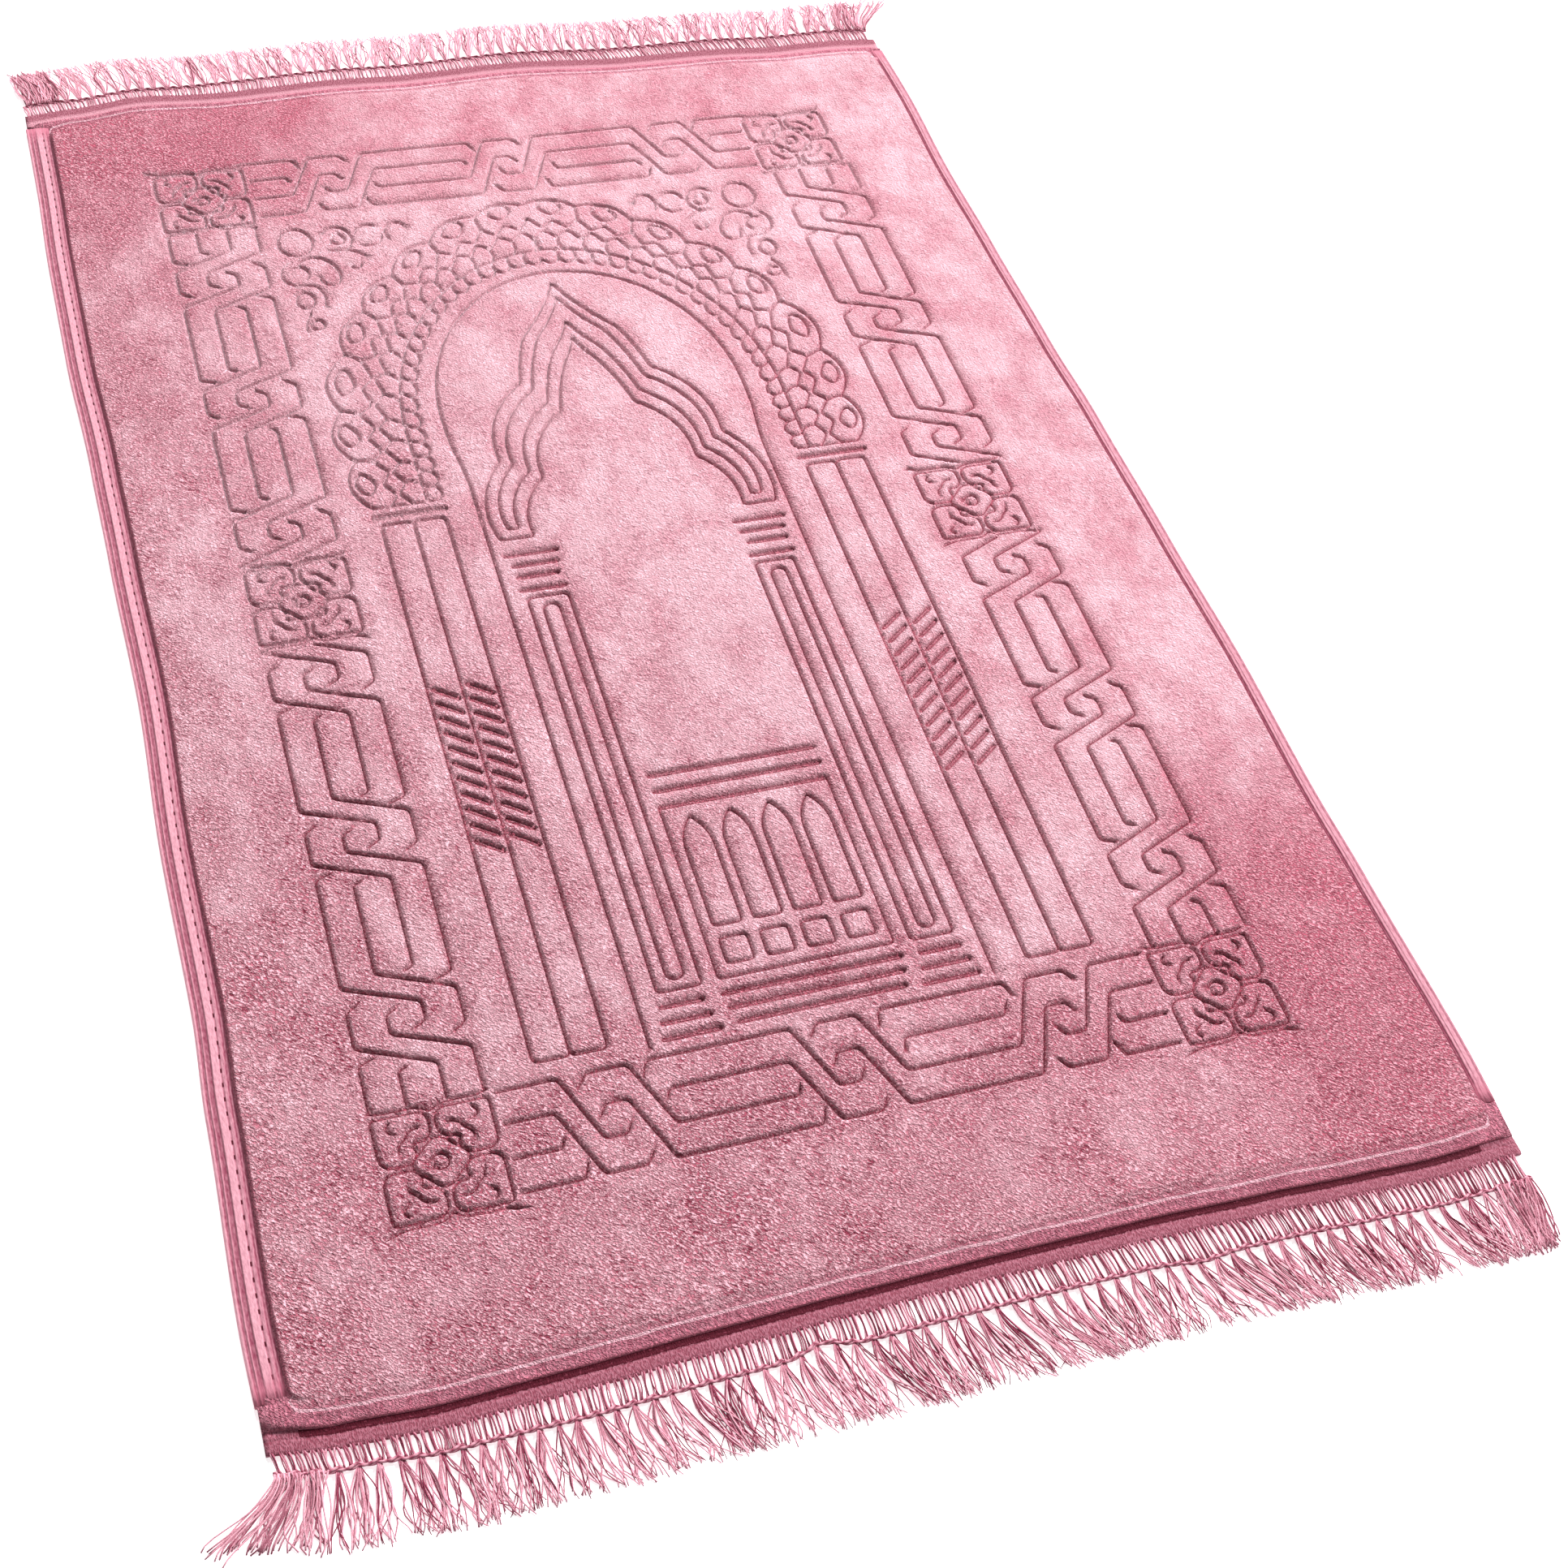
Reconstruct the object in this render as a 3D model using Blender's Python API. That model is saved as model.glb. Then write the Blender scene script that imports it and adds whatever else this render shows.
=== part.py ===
"""A prayer rug laid flat on the floor: one padded plush mat with its pattern pressed in, a binding
folded round each long side, and a woven fringe at each end.

Metres, +Z up. X runs across the rug and +Y towards the point of the niche. The origin is on the
floor under the middle of the whole rug, fringes included. Shapes are worked out in millimetres in
the pattern's own frame, whose origin is the middle of the border, and put in place when a mesh is
made.
"""

import math
import random
from collections import namedtuple

import bmesh
import bpy
import numpy as np
from mathutils import Vector
from mathutils.geometry import delaunay_2d_cdt

MM = 0.001

# ---------------------------------------------------------------- driving sizes, in millimetres
PATTERN_X, PATTERN_Y = -1.18, 2.25  # middle of the border, seen from the middle of the rug

PILE_TOP = 6.5  # padded plush
TONGUE_TOP, TONGUE_BOTTOM = 3.4, 1.6  # side of the mat, inside its binding
GROOVE_DEPTH, GROOVE_HALF = 2.6, 1.8  # a pressed line
SWELL = 0.35  # how far the padding swells and sinks

# The cloth's two long edges, and the fold line at each end, all measured from the border's middle.
EdgeRow = namedtuple("EdgeRow", "y left right")
EDGE_ROWS = (
    EdgeRow(-560, 347.0, 359.0),
    EdgeRow(-480, 349.0, 361.0),
    EdgeRow(-360, 346.5, 359.0),
    EdgeRow(-290, 344.0, 357.5),
    EdgeRow(-180, 345.0, 359.0),
    EdgeRow(-60, 342.0, 356.5),
    EdgeRow(60, 344.0, 354.5),
    EdgeRow(150, 345.0, 351.0),
    EdgeRow(260, 348.2, 349.0),
    EdgeRow(360, 348.5, 347.0),
    EdgeRow(450, 347.0, 349.0),
    EdgeRow(560, 347.0, 346.5),
)
FoldRow = namedtuple("FoldRow", "x near far")
FOLD_ROWS = (
    FoldRow(-350, 537.0, 527.5),
    FoldRow(-310, 542.5, 532.5),
    FoldRow(-260, 545.5, 540.0),
    FoldRow(-200, 544.4, 535.8),
    FoldRow(-110, 542.5, 539.5),
    FoldRow(-55, 541.3, 537.3),
    FoldRow(30, 540.7, 541.0),
    FoldRow(130, 541.5, 534.0),
    FoldRow(200, 543.8, 534.2),
    FoldRow(260, 546.3, 530.3),
    FoldRow(300, 548.0, 531.3),
    FoldRow(360, 546.0, 528.0),
)
EDGE_STATIONS, FOLD_STATIONS = 17, 15

# Section of the flat woven band at each end: how far inside the fold line, and how high.
BandRow = namedtuple("BandRow", "inside height")
BAND_ROWS = (
    BandRow(0.0, 2.6),
    BandRow(2.2, 4.2),
    BandRow(5.0, 3.2),
    BandRow(9.8, 3.4),
    BandRow(12.0, 5.2),
    BandRow(14.0, 3.4),
)
BAND_INWARD = 17.0  # its ribs fade out this far from the cloth's long edges
CORNER_RADIUS, PILE_SLOPE = 14.0, 2.6  # the pile's rounded corner, and its steep edge

# Section of the side binding: how far in from the cloth's edge, and how high. The last share of
# each row's inward size is squeezed on the right, where less of the binding shows.
BindingRow = namedtuple("BindingRow", "inward height")
BINDING_ROWS = (
    BindingRow(1.0, 0.0),
    BindingRow(0.0, 1.4),
    BindingRow(0.3, 4.4),
    BindingRow(2.6, 5.7),
    BindingRow(6.2, 4.7),
    BindingRow(8.2, 5.8),
    BindingRow(12.6, 5.8),
    BindingRow(15.0, 4.8),
    BindingRow(15.0, 3.7),
    BindingRow(3.2, 3.7),
    BindingRow(3.2, 1.3),
    BindingRow(15.0, 1.3),
    BindingRow(15.0, 0.0),
)
BINDING_FOLD, BINDING_WIDTH = 3.2, 15.0
SIDE_WIDTH = {-1: 15.0, 1: 9.0}
BINDING_REACH = 523.5  # from the middle to each end of a binding
TONGUE_INWARD, CORNER_INWARD = 3.5, 1.2
BINDING_GAP, RABBET_GAP, RABBET_SLOPE = 0.6, 0.5, 0.3

# Fringe: distances outwards from the fold line.
FringeRow = namedtuple("FringeRow", "header left_tip middle_tip right_tip")
FRINGES = {-1: FringeRow(11.5, 60.5, 67.5, 68.5), 1: FringeRow(14.5, 68.0, 70.0, 68.5)}
ChainRow = namedtuple("ChainRow", "x near far")
CHAIN_ROWS = (
    ChainRow(-350, 22.0, 27.5),
    ChainRow(-300, 22.0, 24.0),
    ChainRow(-250, 23.5, 23.0),
    ChainRow(-190, 25.2, 26.3),
    ChainRow(0, 26.2, 26.5),
    ChainRow(200, 26.5, 27.0),
    ChainRow(350, 26.5, 27.5),
)
FRINGE_GAP, CHAIN_HALF, HEADER_STEP, STRAND_RUN = 0.4, 1.5, 1.2, 44.0
BUNCHES, CORNER_STRANDS, CORNER_ZONE = 66, 8, 26.0
BUNCH_HALF_ROOT, BUNCH_HALF_TIP, BUNCH_STRAY = 1.75, 2.5, 0.6
STRAND_ROOT, STRAND_TIP = 2.3, 1.5
HEADER_TOP, LADDER_TOP, CHAIN_TOP, STRAND_TOP, TIP_TOP = 2.4, 1.7, 3.0, 2.2, 1.2
LeanRow = namedtuple("LeanRow", "x near far")
LEAN_ROWS = (
    LeanRow(-350, -31.0, -6.0),
    LeanRow(-322, -5.0, -9.0),
    LeanRow(-280, 1.0, -9.0),
    LeanRow(-210, 3.0, -5.0),
    LeanRow(-150, 8.0, -4.0),
    LeanRow(-60, 5.0, 3.0),
    LeanRow(40, 12.0, 5.0),
    LeanRow(125, 4.0, 4.0),
    LeanRow(180, 12.0, 0.0),
    LeanRow(250, 12.0, 9.0),
    LeanRow(310, 8.0, 10.0),
    LeanRow(335, 4.0, 8.0),
    LeanRow(346, 10.0, 34.0),
)

# ---------------------------------------------------------------- the pattern, in millimetres
# Border: rails of the fret across its strip, and its run along the strip.
RAILS = (0.0, 21.0, 42.5, 63.0)
SIDE_OUTER_RAIL = 265.0
INNER_RAIL = {-1: 380.0, 1: 388.0}
SIDE_PITCH, SIDE_FIRST = 128.3, 64.5
END_PITCH, END_MIDDLE = 135.0, 1.0
MEDALLION_X, MEDALLION_Y, MEDALLION_HALF = 231.0, 413.7, 33.3
STRIP_GAP, SIDE_SHIFT = 4.0, 2.3  # side strips lie a little to the right of the middle
BoxLine = namedtuple("BoxLine", "rail near_hook far_hook low high")
END_BOX = (BoxLine(0, 9.0, 9.0, 29.0, 106.0), BoxLine(1, 7.0, -6.0, 38.0, 100.0))

# The arch of lacework: the cusps between its outer scallops, from the top down one leg.
Cusp = namedtuple("Cusp", "x y")
CUSPS = (
    Cusp(0.0, 368.7),
    Cusp(39.0, 361.0),
    Cusp(78.0, 337.7),
    Cusp(112.0, 304.7),
    Cusp(140.0, 270.0),
    Cusp(161.0, 227.0),
    Cusp(175.0, 170.0),
    Cusp(175.0, 120.0),
    Cusp(171.0, 72.5),
)
SCALLOP_BULGE = 0.20
LACE_HALF, LACE_SPRING, LACE_RISE, LACE_FOOT = 132.5, 140.0, 171.0, 72.5
BEADS_A_SIDE, BEAD_BULGE = 21, 0.55
# Cells between the scallops, as shares of a scallop either side and of the way out.
Cell = namedtuple("Cell", "half_run low middle high")
DIAMOND = Cell(0.24, 0.33, 0.51, 0.69)
PETAL = Cell(0.25, 0.60, 0.76, 0.90)
GARLAND_LOW, GARLAND_HIGH = 0.10, 0.30

# The horseshoe line inside it.
HORSESHOE_HALF, HORSESHOE_SPRING, HORSESHOE_RISE = 109.0, 150.0, 139.0
NECK_X, NECK_Y, LEG_FOOT = 104.5, 85.0, -371.0

# The pointed niche, one row for each of its four lines.
NicheLine = namedtuple("NicheLine", "foot_x foot_y cusp_x cusp_y upper_x upper_y neck_x neck_y apex_y")
NICHE = (
    NicheLine(96.0, 27.0, 79.5, 101.0, 47.5, 175.0, 34.5, 222.0, 277.0),
    NicheLine(88.5, 36.0, 71.5, 96.0, 41.0, 166.0, 24.5, 220.0, 261.0),
    NicheLine(81.0, 36.0, 62.0, 87.5, 33.5, 152.0, 17.5, 203.0, 234.0),
    NicheLine(73.0, 27.0, 54.5, 80.0, 27.0, 141.0, 11.0, 192.0, 216.0),
)
NICHE_BULGES = (0.13, 0.14, 0.03, -0.04)

# Columns, capitals, steps and the small arcade.
Bar = namedtuple("Bar", "y inner outer")
SIDE_BARS = (
    Bar(12.5, 61, 97),
    Bar(2.5, 63, 94),
    Bar(-7.5, 65, 93),
    Bar(-19.5, 63, 94),
    Bar(-348.7, 66, 92),
    Bar(-359.2, 64, 94),
    Bar(-369.5, 61, 96),
)
MIDDLE_BARS = (
    Bar(-348.0, -55, 55),
    Bar(-358.0, -53.5, 53.5),
    Bar(-368.0, -51, 51),
    Bar(-186.0, -54, 54),
    Bar(-198.5, -54, 54),
    Bar(-211.0, -54, 54),
)
Box = namedtuple("Box", "inner outer low high")
INNER_COLUMN = Box(64.0, 91.0, -339.0, -27.0)
INNER_SLOT = Box(72.2, 82.8, -332.0, -34.0)
OUTER_COLUMN = Box(127.0, 170.0, -367.0, 56.0)
OUTER_COLUMN_MIDDLE, OUTER_COLUMN_CAP = 148.5, 64.0
ROPE_LOW, ROPE_HIGH, ROPE_PITCH, ROPE_RISE, ROPE_WIDTH, ROPE_INSET = -216, -84, 12.1, 11.5, 15.5, 3.0
PANEL = Box(-54.0, 54.0, -338.0, -211.0)
ARCADE_PITCH, ARCADE_HALF = 25.0, 9.0
ARCADE_BASE, ARCADE_SPRING, ARCADE_APEX = -302.0, -245.0, -221.0
TILE_HALF, TILE_LOW, TILE_HIGH = 8.5, -329.0, -311.0

# Sprigs above the arch. A leaf leans from its point towards its round end.
Leaf = namedtuple("Leaf", "x y half_length half_width lean")
LEAVES = (
    Leaf(168.0, 352.5, 16.0, 13.5, 42),
    Leaf(135.0, 325.5, 16.5, 12.0, 208),
    Leaf(151.0, 315.0, 17.5, 9.0, 247),
)
Scroll = namedtuple("Scroll", "x y radius turns start")
SCROLLS = (
    Scroll(136.0, 350.0, 13.5, 1.25, 205),
    Scroll(167.0, 318.5, 13.5, 1.30, 115),
    Scroll(170.0, 288.0, 9.0, 0.90, 60),
    Scroll(112.5, 352.0, 6.5, 0.80, 250),
)

COLOURS = {
    "pile": (0.60, 0.27, 0.33, 1.0),
    "binding": (0.50, 0.21, 0.27, 1.0),
    "fringe": (0.45, 0.17, 0.24, 1.0),
}


# ---------------------------------------------------------------- outline of the cloth
def eased(value, places, sizes):
    """A table's size at each value, easing in and out of every row."""
    value = np.clip(value, places[0], places[-1])
    row = np.clip(np.searchsorted(places, value) - 1, 0, len(places) - 2)
    places, sizes = np.asarray(places, float), np.asarray(sizes, float)
    share = (value - places[row]) / (places[row + 1] - places[row])
    share = share * share * (3.0 - 2.0 * share)
    return sizes[row] + share * (sizes[row + 1] - sizes[row])


def edge_x(side, y, inward=0.0):
    """X of the cloth's long edge on one side (-1 left, 1 right), moved inward."""
    sizes = [row.left if side < 0 else row.right for row in EDGE_ROWS]
    return side * (eased(y, [row.y for row in EDGE_ROWS], sizes) - inward)


def fold_y(end, x, outward=0.0):
    """Y of the fold line at one end (-1 near, 1 far), moved outward."""
    sizes = [row.near if end < 0 else row.far for row in FOLD_ROWS]
    return end * (eased(x, [row.x for row in FOLD_ROWS], sizes) + outward)


def fold_line(end, inward, outward=0.0, count=FOLD_STATIONS):
    """Points along a fold line from left to right, its ends a given way in from the edges."""
    corner = end * BINDING_REACH
    left, right = edge_x(-1, corner, inward), edge_x(1, corner, inward)
    return [(float(x), float(fold_y(end, x, outward))) for x in np.linspace(left, right, count)]


def rabbet(side):
    return SIDE_WIDTH[side] + RABBET_GAP


def edge_line(side, inward, reach=BINDING_REACH):
    """Points up a long edge, moved inward: always at the same stations but for the two ends."""
    places = np.linspace(-BINDING_REACH, BINDING_REACH, EDGE_STATIONS)
    places = [-reach] + [float(y) for y in places if abs(y) < min(reach, BINDING_REACH) - 1.0] + [reach]
    return [(float(edge_x(side, y, inward)), y) for y in places]


def pile_distance(x, y):
    """How far inside the foot of the pile's edge each point lies, with rounded corners."""
    x, y = np.asarray(x, float), np.asarray(y, float)
    left = x - edge_x(-1, y, rabbet(-1))
    right = edge_x(1, y, rabbet(1)) - x
    from_side = np.minimum(left, right)
    foot = BAND_ROWS[-1].inside
    from_end = np.minimum(y - fold_y(-1, x, -foot), fold_y(1, x, -foot) - y)
    rounded = CORNER_RADIUS - np.hypot(CORNER_RADIUS - from_side, CORNER_RADIUS - from_end)
    in_corner = (from_side < CORNER_RADIUS) & (from_end < CORNER_RADIUS)
    return np.where(in_corner, rounded, np.minimum(from_side, from_end))


def pile_corner(side, end, inset):
    """The pile's rounded corner, drawn anticlockwise."""
    arc = CORNER_RADIUS - inset
    foot = BAND_ROWS[-1].inside
    points = []
    for angle in np.radians((0, 30, 60, 90) if side * end > 0 else (90, 60, 30, 0)):
        from_side = CORNER_RADIUS - arc * math.cos(angle)
        from_end = CORNER_RADIUS - arc * math.sin(angle)
        y = end * BINDING_REACH
        for _ in range(3):
            x = float(edge_x(side, y, rabbet(side) + from_side))
            y = float(fold_y(end, x, -foot - from_end))
        points.append((x, y))
    return points


def pile_loop(inset):
    """The pile's outline, a given way inside the foot of its edge."""
    corners = [pile_corner(side, end, inset) for side, end in ((-1, -1), (1, -1), (1, 1), (-1, 1))]
    loop = []
    for number, (corner, after) in enumerate(zip(corners, corners[1:] + corners[:1])):
        loop += corner
        start, stop = corner[-1], after[0]
        end = (-1, 0, 1, 0)[number]
        side = (0, 1, 0, -1)[number]
        if end:
            places = np.linspace(start[0], stop[0], FOLD_STATIONS)[1:-1]
            loop += [(float(x), float(fold_y(end, x, -BAND_ROWS[-1].inside - inset))) for x in places]
        else:
            low, high = sorted((start[1], stop[1]))
            straight = [p for p in edge_line(side, rabbet(side) + inset) if low + 5.0 < p[1] < high - 5.0]
            loop += straight if side > 0 else straight[::-1]
    return loop


def mat_loop():
    """The mat's own outline, anticlockwise: full width at the ends, narrower inside the bindings."""
    notch = BINDING_REACH + BINDING_GAP
    loop = fold_line(-1, CORNER_INWARD)
    loop += [(float(edge_x(1, -notch, CORNER_INWARD)), -notch - RABBET_SLOPE)]
    loop += [(float(edge_x(1, -notch, TONGUE_INWARD)), -notch - RABBET_SLOPE)]
    loop += edge_line(1, TONGUE_INWARD, notch)
    loop += [(float(edge_x(1, notch, TONGUE_INWARD)), notch + RABBET_SLOPE)]
    loop += [(float(edge_x(1, notch, CORNER_INWARD)), notch + RABBET_SLOPE)]
    loop += list(reversed(fold_line(1, CORNER_INWARD)))
    loop += [(float(edge_x(-1, notch, CORNER_INWARD)), notch + RABBET_SLOPE)]
    loop += [(float(edge_x(-1, notch, TONGUE_INWARD)), notch + RABBET_SLOPE)]
    loop += edge_line(-1, TONGUE_INWARD, notch)[::-1]
    loop += [(float(edge_x(-1, -notch, TONGUE_INWARD)), -notch - RABBET_SLOPE)]
    loop += [(float(edge_x(-1, -notch, CORNER_INWARD)), -notch - RABBET_SLOPE)]
    return loop


# ---------------------------------------------------------------- drawing pressed lines
def mirrored(lines):
    """The lines and their mirror images across the rug's middle."""
    return lines + [([(-x, y) for x, y in points], closed) for points, closed in lines]


def bulged(start, end, bulge, count):
    """Points after start up to end, on a curve that bulges to the left by a share of its chord."""
    start, end = Vector(start), Vector(end)
    across = Vector((start.y - end.y, end.x - start.x)) * bulge
    steps = [(i + 1) / count for i in range(count)]
    return [tuple(start.lerp(end, t) + across * (4.0 * t * (1.0 - t))) for t in steps]


def ellipse_arc(x, y, half_x, half_y, first, last, count):
    """Points on an ellipse between two angles in degrees."""
    angles = [math.radians(a) for a in np.linspace(first, last, count)]
    return [(x + half_x * math.cos(a), y + half_y * math.sin(a)) for a in angles]


def rectangle(inner, outer, low, high):
    return [(inner, low), (outer, low), (outer, high), (inner, high)]


# ---------------------------------------------------------------- border
def fret_unit(middle, pitch):
    """One crossing of the fret, as (along, across) points: four hooked lines, the last two being
    the first two turned half round. Each runs short on one rail, slants to the next rail but one,
    runs long beside the next crossing and ends in a hook."""
    long_run = pitch - 33.0
    first = [
        (-14.0, RAILS[0] + 6.5),
        (-10.0, RAILS[0]),
        (14.0, RAILS[0]),
        (32.0, RAILS[2]),
        (long_run, RAILS[2]),
        (long_run + 2.0, RAILS[2] - 5.0),
    ]
    second = [
        (-7.0, RAILS[1] + 6.0),
        (-4.0, RAILS[1]),
        (9.0, RAILS[1]),
        (26.0, RAILS[3]),
        (long_run + 8.0, RAILS[3]),
        (long_run + 11.5, RAILS[3] - 9.5),
    ]
    turned = [[(-s, RAILS[3] - t) for s, t in line] for line in (first, second)]
    return [[(middle + s, t) for s, t in line] for line in [first, second] + turned]


def clipped(line, low, high):
    """The part of a line whose first coordinate lies between two values."""
    kept = []
    for (s0, t0), (s1, t1) in zip(line[:-1], line[1:]):
        shares = [(c - s0) / (s1 - s0) for c in (low, high) if (c - s0) * (c - s1) < 0.0]
        cuts = sorted([0.0, 1.0] + shares)
        for a, b in zip(cuts[:-1], cuts[1:]):
            if not low <= s0 + (a + b) / 2.0 * (s1 - s0) <= high:
                continue
            ends = [(s0 + c * (s1 - s0), t0 + c * (t1 - t0)) for c in (a, b)]
            kept += ends if not kept or kept[-1] != ends[0] else ends[1:]
    return kept


def fret_run(middles, pitch, low, high):
    """All the fret's lines between two places along a strip."""
    lines = [clipped(line, low, high) for middle in middles for line in fret_unit(middle, pitch)]
    return [line for line in lines if len(line) > 1]


def side_fret():
    """The fret up both long sides. It runs from the middle medallion towards each end."""
    low = MEDALLION_HALF + STRIP_GAP
    high = MEDALLION_Y - MEDALLION_HALF - STRIP_GAP
    middles = [SIDE_FIRST + unit * SIDE_PITCH for unit in range(4)]
    half = [[(SIDE_OUTER_RAIL - t, s) for s, t in line] for line in fret_run(middles, SIDE_PITCH, low, high)]
    both = half + [[(x, -y) for x, y in line] for line in half]
    lines = mirrored([(line, False) for line in both])
    return [([(x + SIDE_SHIFT, y) for x, y in line], closed) for line, closed in lines]


def box_line(row):
    """A line with a hook at both ends, inside the long box right of the middle crossing."""
    rail = RAILS[row.rail]
    low, high = row.low, row.high
    return [(low - 2.0, rail + row.near_hook), (low, rail), (high, rail), (high + 3.0, rail + row.far_hook)]


def end_fret(end):
    """The fret across one end. Its right part mirrors its left part, past a turn that joins them."""
    reach = MEDALLION_X - MEDALLION_HALF - STRIP_GAP
    turn = END_PITCH / 2.0
    middles = [END_MIDDLE + unit * END_PITCH for unit in (-2, -1, 0)]
    left = fret_run(middles, END_PITCH, -reach, turn)
    right = [[(-s, t) for s, t in line] for line in fret_run(middles[:2], END_PITCH, -reach, -turn)]
    lines = left + right + [box_line(row) for row in END_BOX]
    return [([(s, end * (INNER_RAIL[end] + t)) for s, t in line], False) for line in lines]


def medallion(x, y):
    """A flower with a ring in its middle, and a scrolled leaf in each corner."""
    half = MEDALLION_HALF
    ring = ellipse_arc(0.0, 0.0, 4.5, 4.5, 0, 300, 6)
    flower = []
    for angle in range(0, 360, 45):
        radius = 15.2 if angle % 90 == 0 else 13.0
        flower.append((radius * math.cos(math.radians(angle)), radius * math.sin(math.radians(angle))))
    lower = [(half, 9.5), (29.5, 3.2), (20.5, 2.5), (15.0, 6.5)]
    leaf = [(half, half + 1.0)] + lower + [(v, u) for u, v in reversed(lower)]
    corners = [[(u * sx, v * sy) for u, v in leaf] for sx in (-1, 1) for sy in (-1, 1)]
    return [([(x + u, y + v) for u, v in line], True) for line in [ring, flower] + corners]


def medallions():
    rows = (-MEDALLION_Y, 0.0, MEDALLION_Y)
    return [line for x in (-MEDALLION_X, MEDALLION_X) for y in rows for line in medallion(x, y)]


# ---------------------------------------------------------------- arches
def lace_inner(share):
    """A point on the lace arch's inner edge, by its place from the top (0) to the foot (1)."""
    arc = math.pi / 2 * math.sqrt((LACE_HALF**2 + LACE_RISE**2) / 2.0)
    run = share * (arc + LACE_SPRING - LACE_FOOT)
    if run > arc:
        return LACE_HALF, LACE_SPRING - (run - arc)
    angle = math.pi / 2 * (1.0 - run / arc)
    return LACE_HALF * math.cos(angle), LACE_SPRING + LACE_RISE * math.sin(angle)


def lace_point(place, across):
    """A point in the lace: place counts scallops from the top, across is 0 inside and 1 outside."""
    row = min(int(place), len(CUSPS) - 2)
    outer = Vector(CUSPS[row]).lerp(Vector(CUSPS[row + 1]), place - row)
    inner = Vector(lace_inner(place / (len(CUSPS) - 1)))
    return tuple(inner.lerp(outer, across))


def over_the_top(half):
    """A whole line from the right foot to the left one, given its right half from the top down."""
    return list(reversed(half)) + [(-x, y) for x, y in half[1:]]


def lace_cell(place, cell):
    """A four-cornered cell of the lace."""
    run = ((0.0, cell.low), (cell.half_run, cell.middle), (0.0, cell.high), (-cell.half_run, cell.middle))
    return [lace_point(place + along, across) for along, across in run]


def lace_arch():
    """Outer scallops and inner beads in one closed line, the cells between, and a garland."""
    count = len(CUSPS) - 1
    outer = [tuple(CUSPS[0])]
    for start, end in zip(CUSPS[:-1], CUSPS[1:]):
        outer += bulged(start, end, SCALLOP_BULGE, 3)
    inner = [lace_inner(0.0)]
    for bead in range(BEADS_A_SIDE):
        start, end = lace_inner(bead / BEADS_A_SIDE), lace_inner((bead + 1) / BEADS_A_SIDE)
        inner += bulged(start, end, -BEAD_BULGE, 2)
    lines = [(over_the_top(outer) + list(reversed(over_the_top(inner))), True)]
    cells = [lace_cell(place, DIAMOND) for place in range(1, count)]
    cells += [lace_cell(place + 0.5, PETAL) for place in range(count)]
    lines += mirrored([(cell, True) for cell in cells])
    top = [lace_point(0.0, DIAMOND.low), lace_point(DIAMOND.half_run, DIAMOND.middle)]
    top.append(lace_point(0.0, DIAMOND.high))
    lines.append((top + [(-top[1][0], top[1][1])], True))
    steps = range(4 * count - 1)
    half = [lace_point(i / 4.0, GARLAND_LOW if i % 2 else GARLAND_HIGH) for i in steps]
    lines.append((over_the_top(half), False))
    return lines


def horseshoe():
    """One line over the niche, drawn in at the neck and straight down beside the columns."""
    arch = ellipse_arc(0.0, HORSESHOE_SPRING, HORSESHOE_HALF, HORSESHOE_RISE, 90, 0, 11)
    neck = [(HORSESHOE_HALF - 0.4, HORSESHOE_SPRING - 25.0), (NECK_X + 1.5, NECK_Y + 18.0), (NECK_X, NECK_Y)]
    return [(over_the_top(arch + neck + [(NECK_X, LEG_FOOT)]), False)]


def niche_side(line):
    """One side of a line of the niche, from its point down to its foot."""
    stops = (
        (line.foot_x, line.foot_y),
        (line.cusp_x, line.cusp_y),
        (line.upper_x, line.upper_y),
        (line.neck_x, line.neck_y),
        (0.0, line.apex_y),
    )
    points = [stops[0]]
    for start, end, bulge, count in zip(stops[:-1], stops[1:], NICHE_BULGES, (3, 3, 2, 2)):
        points += bulged(start, end, -bulge, count)
    return list(reversed(points))


def niche():
    """Two bands, each closed by its outer line, its inner line and a short foot on both sides."""
    lines = []
    for outer, inner in ((NICHE[0], NICHE[3]), (NICHE[1], NICHE[2])):
        outer, inner = over_the_top(niche_side(outer)), over_the_top(niche_side(inner))
        lines.append((outer + list(reversed(inner)), True))
    return lines


# ---------------------------------------------------------------- columns and panel
def columns():
    """Capitals, steps, slotted inner columns, and outer columns with a block of twisted rope."""
    lines = [([(bar.inner, bar.y), (bar.outer, bar.y)], False) for bar in SIDE_BARS]
    lines += [(rectangle(*box), True) for box in (INNER_COLUMN, INNER_SLOT, OUTER_COLUMN)]
    lines.append(([(OUTER_COLUMN_MIDDLE, OUTER_COLUMN.low), (OUTER_COLUMN_MIDDLE, OUTER_COLUMN.high)], False))
    cap = [(OUTER_COLUMN.inner - 3.0, OUTER_COLUMN_CAP), (OUTER_COLUMN.outer + 4.0, OUTER_COLUMN_CAP)]
    lines.append((cap, False))
    for start in (OUTER_COLUMN.inner + ROPE_INSET, OUTER_COLUMN_MIDDLE + ROPE_INSET):
        for y in np.arange(ROPE_LOW, ROPE_HIGH, ROPE_PITCH):
            strand = [(start, y - ROPE_RISE / 2), (start + ROPE_WIDTH, y + ROPE_RISE / 2)]
            lines.append((strand, False))
    return mirrored(lines)


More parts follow.
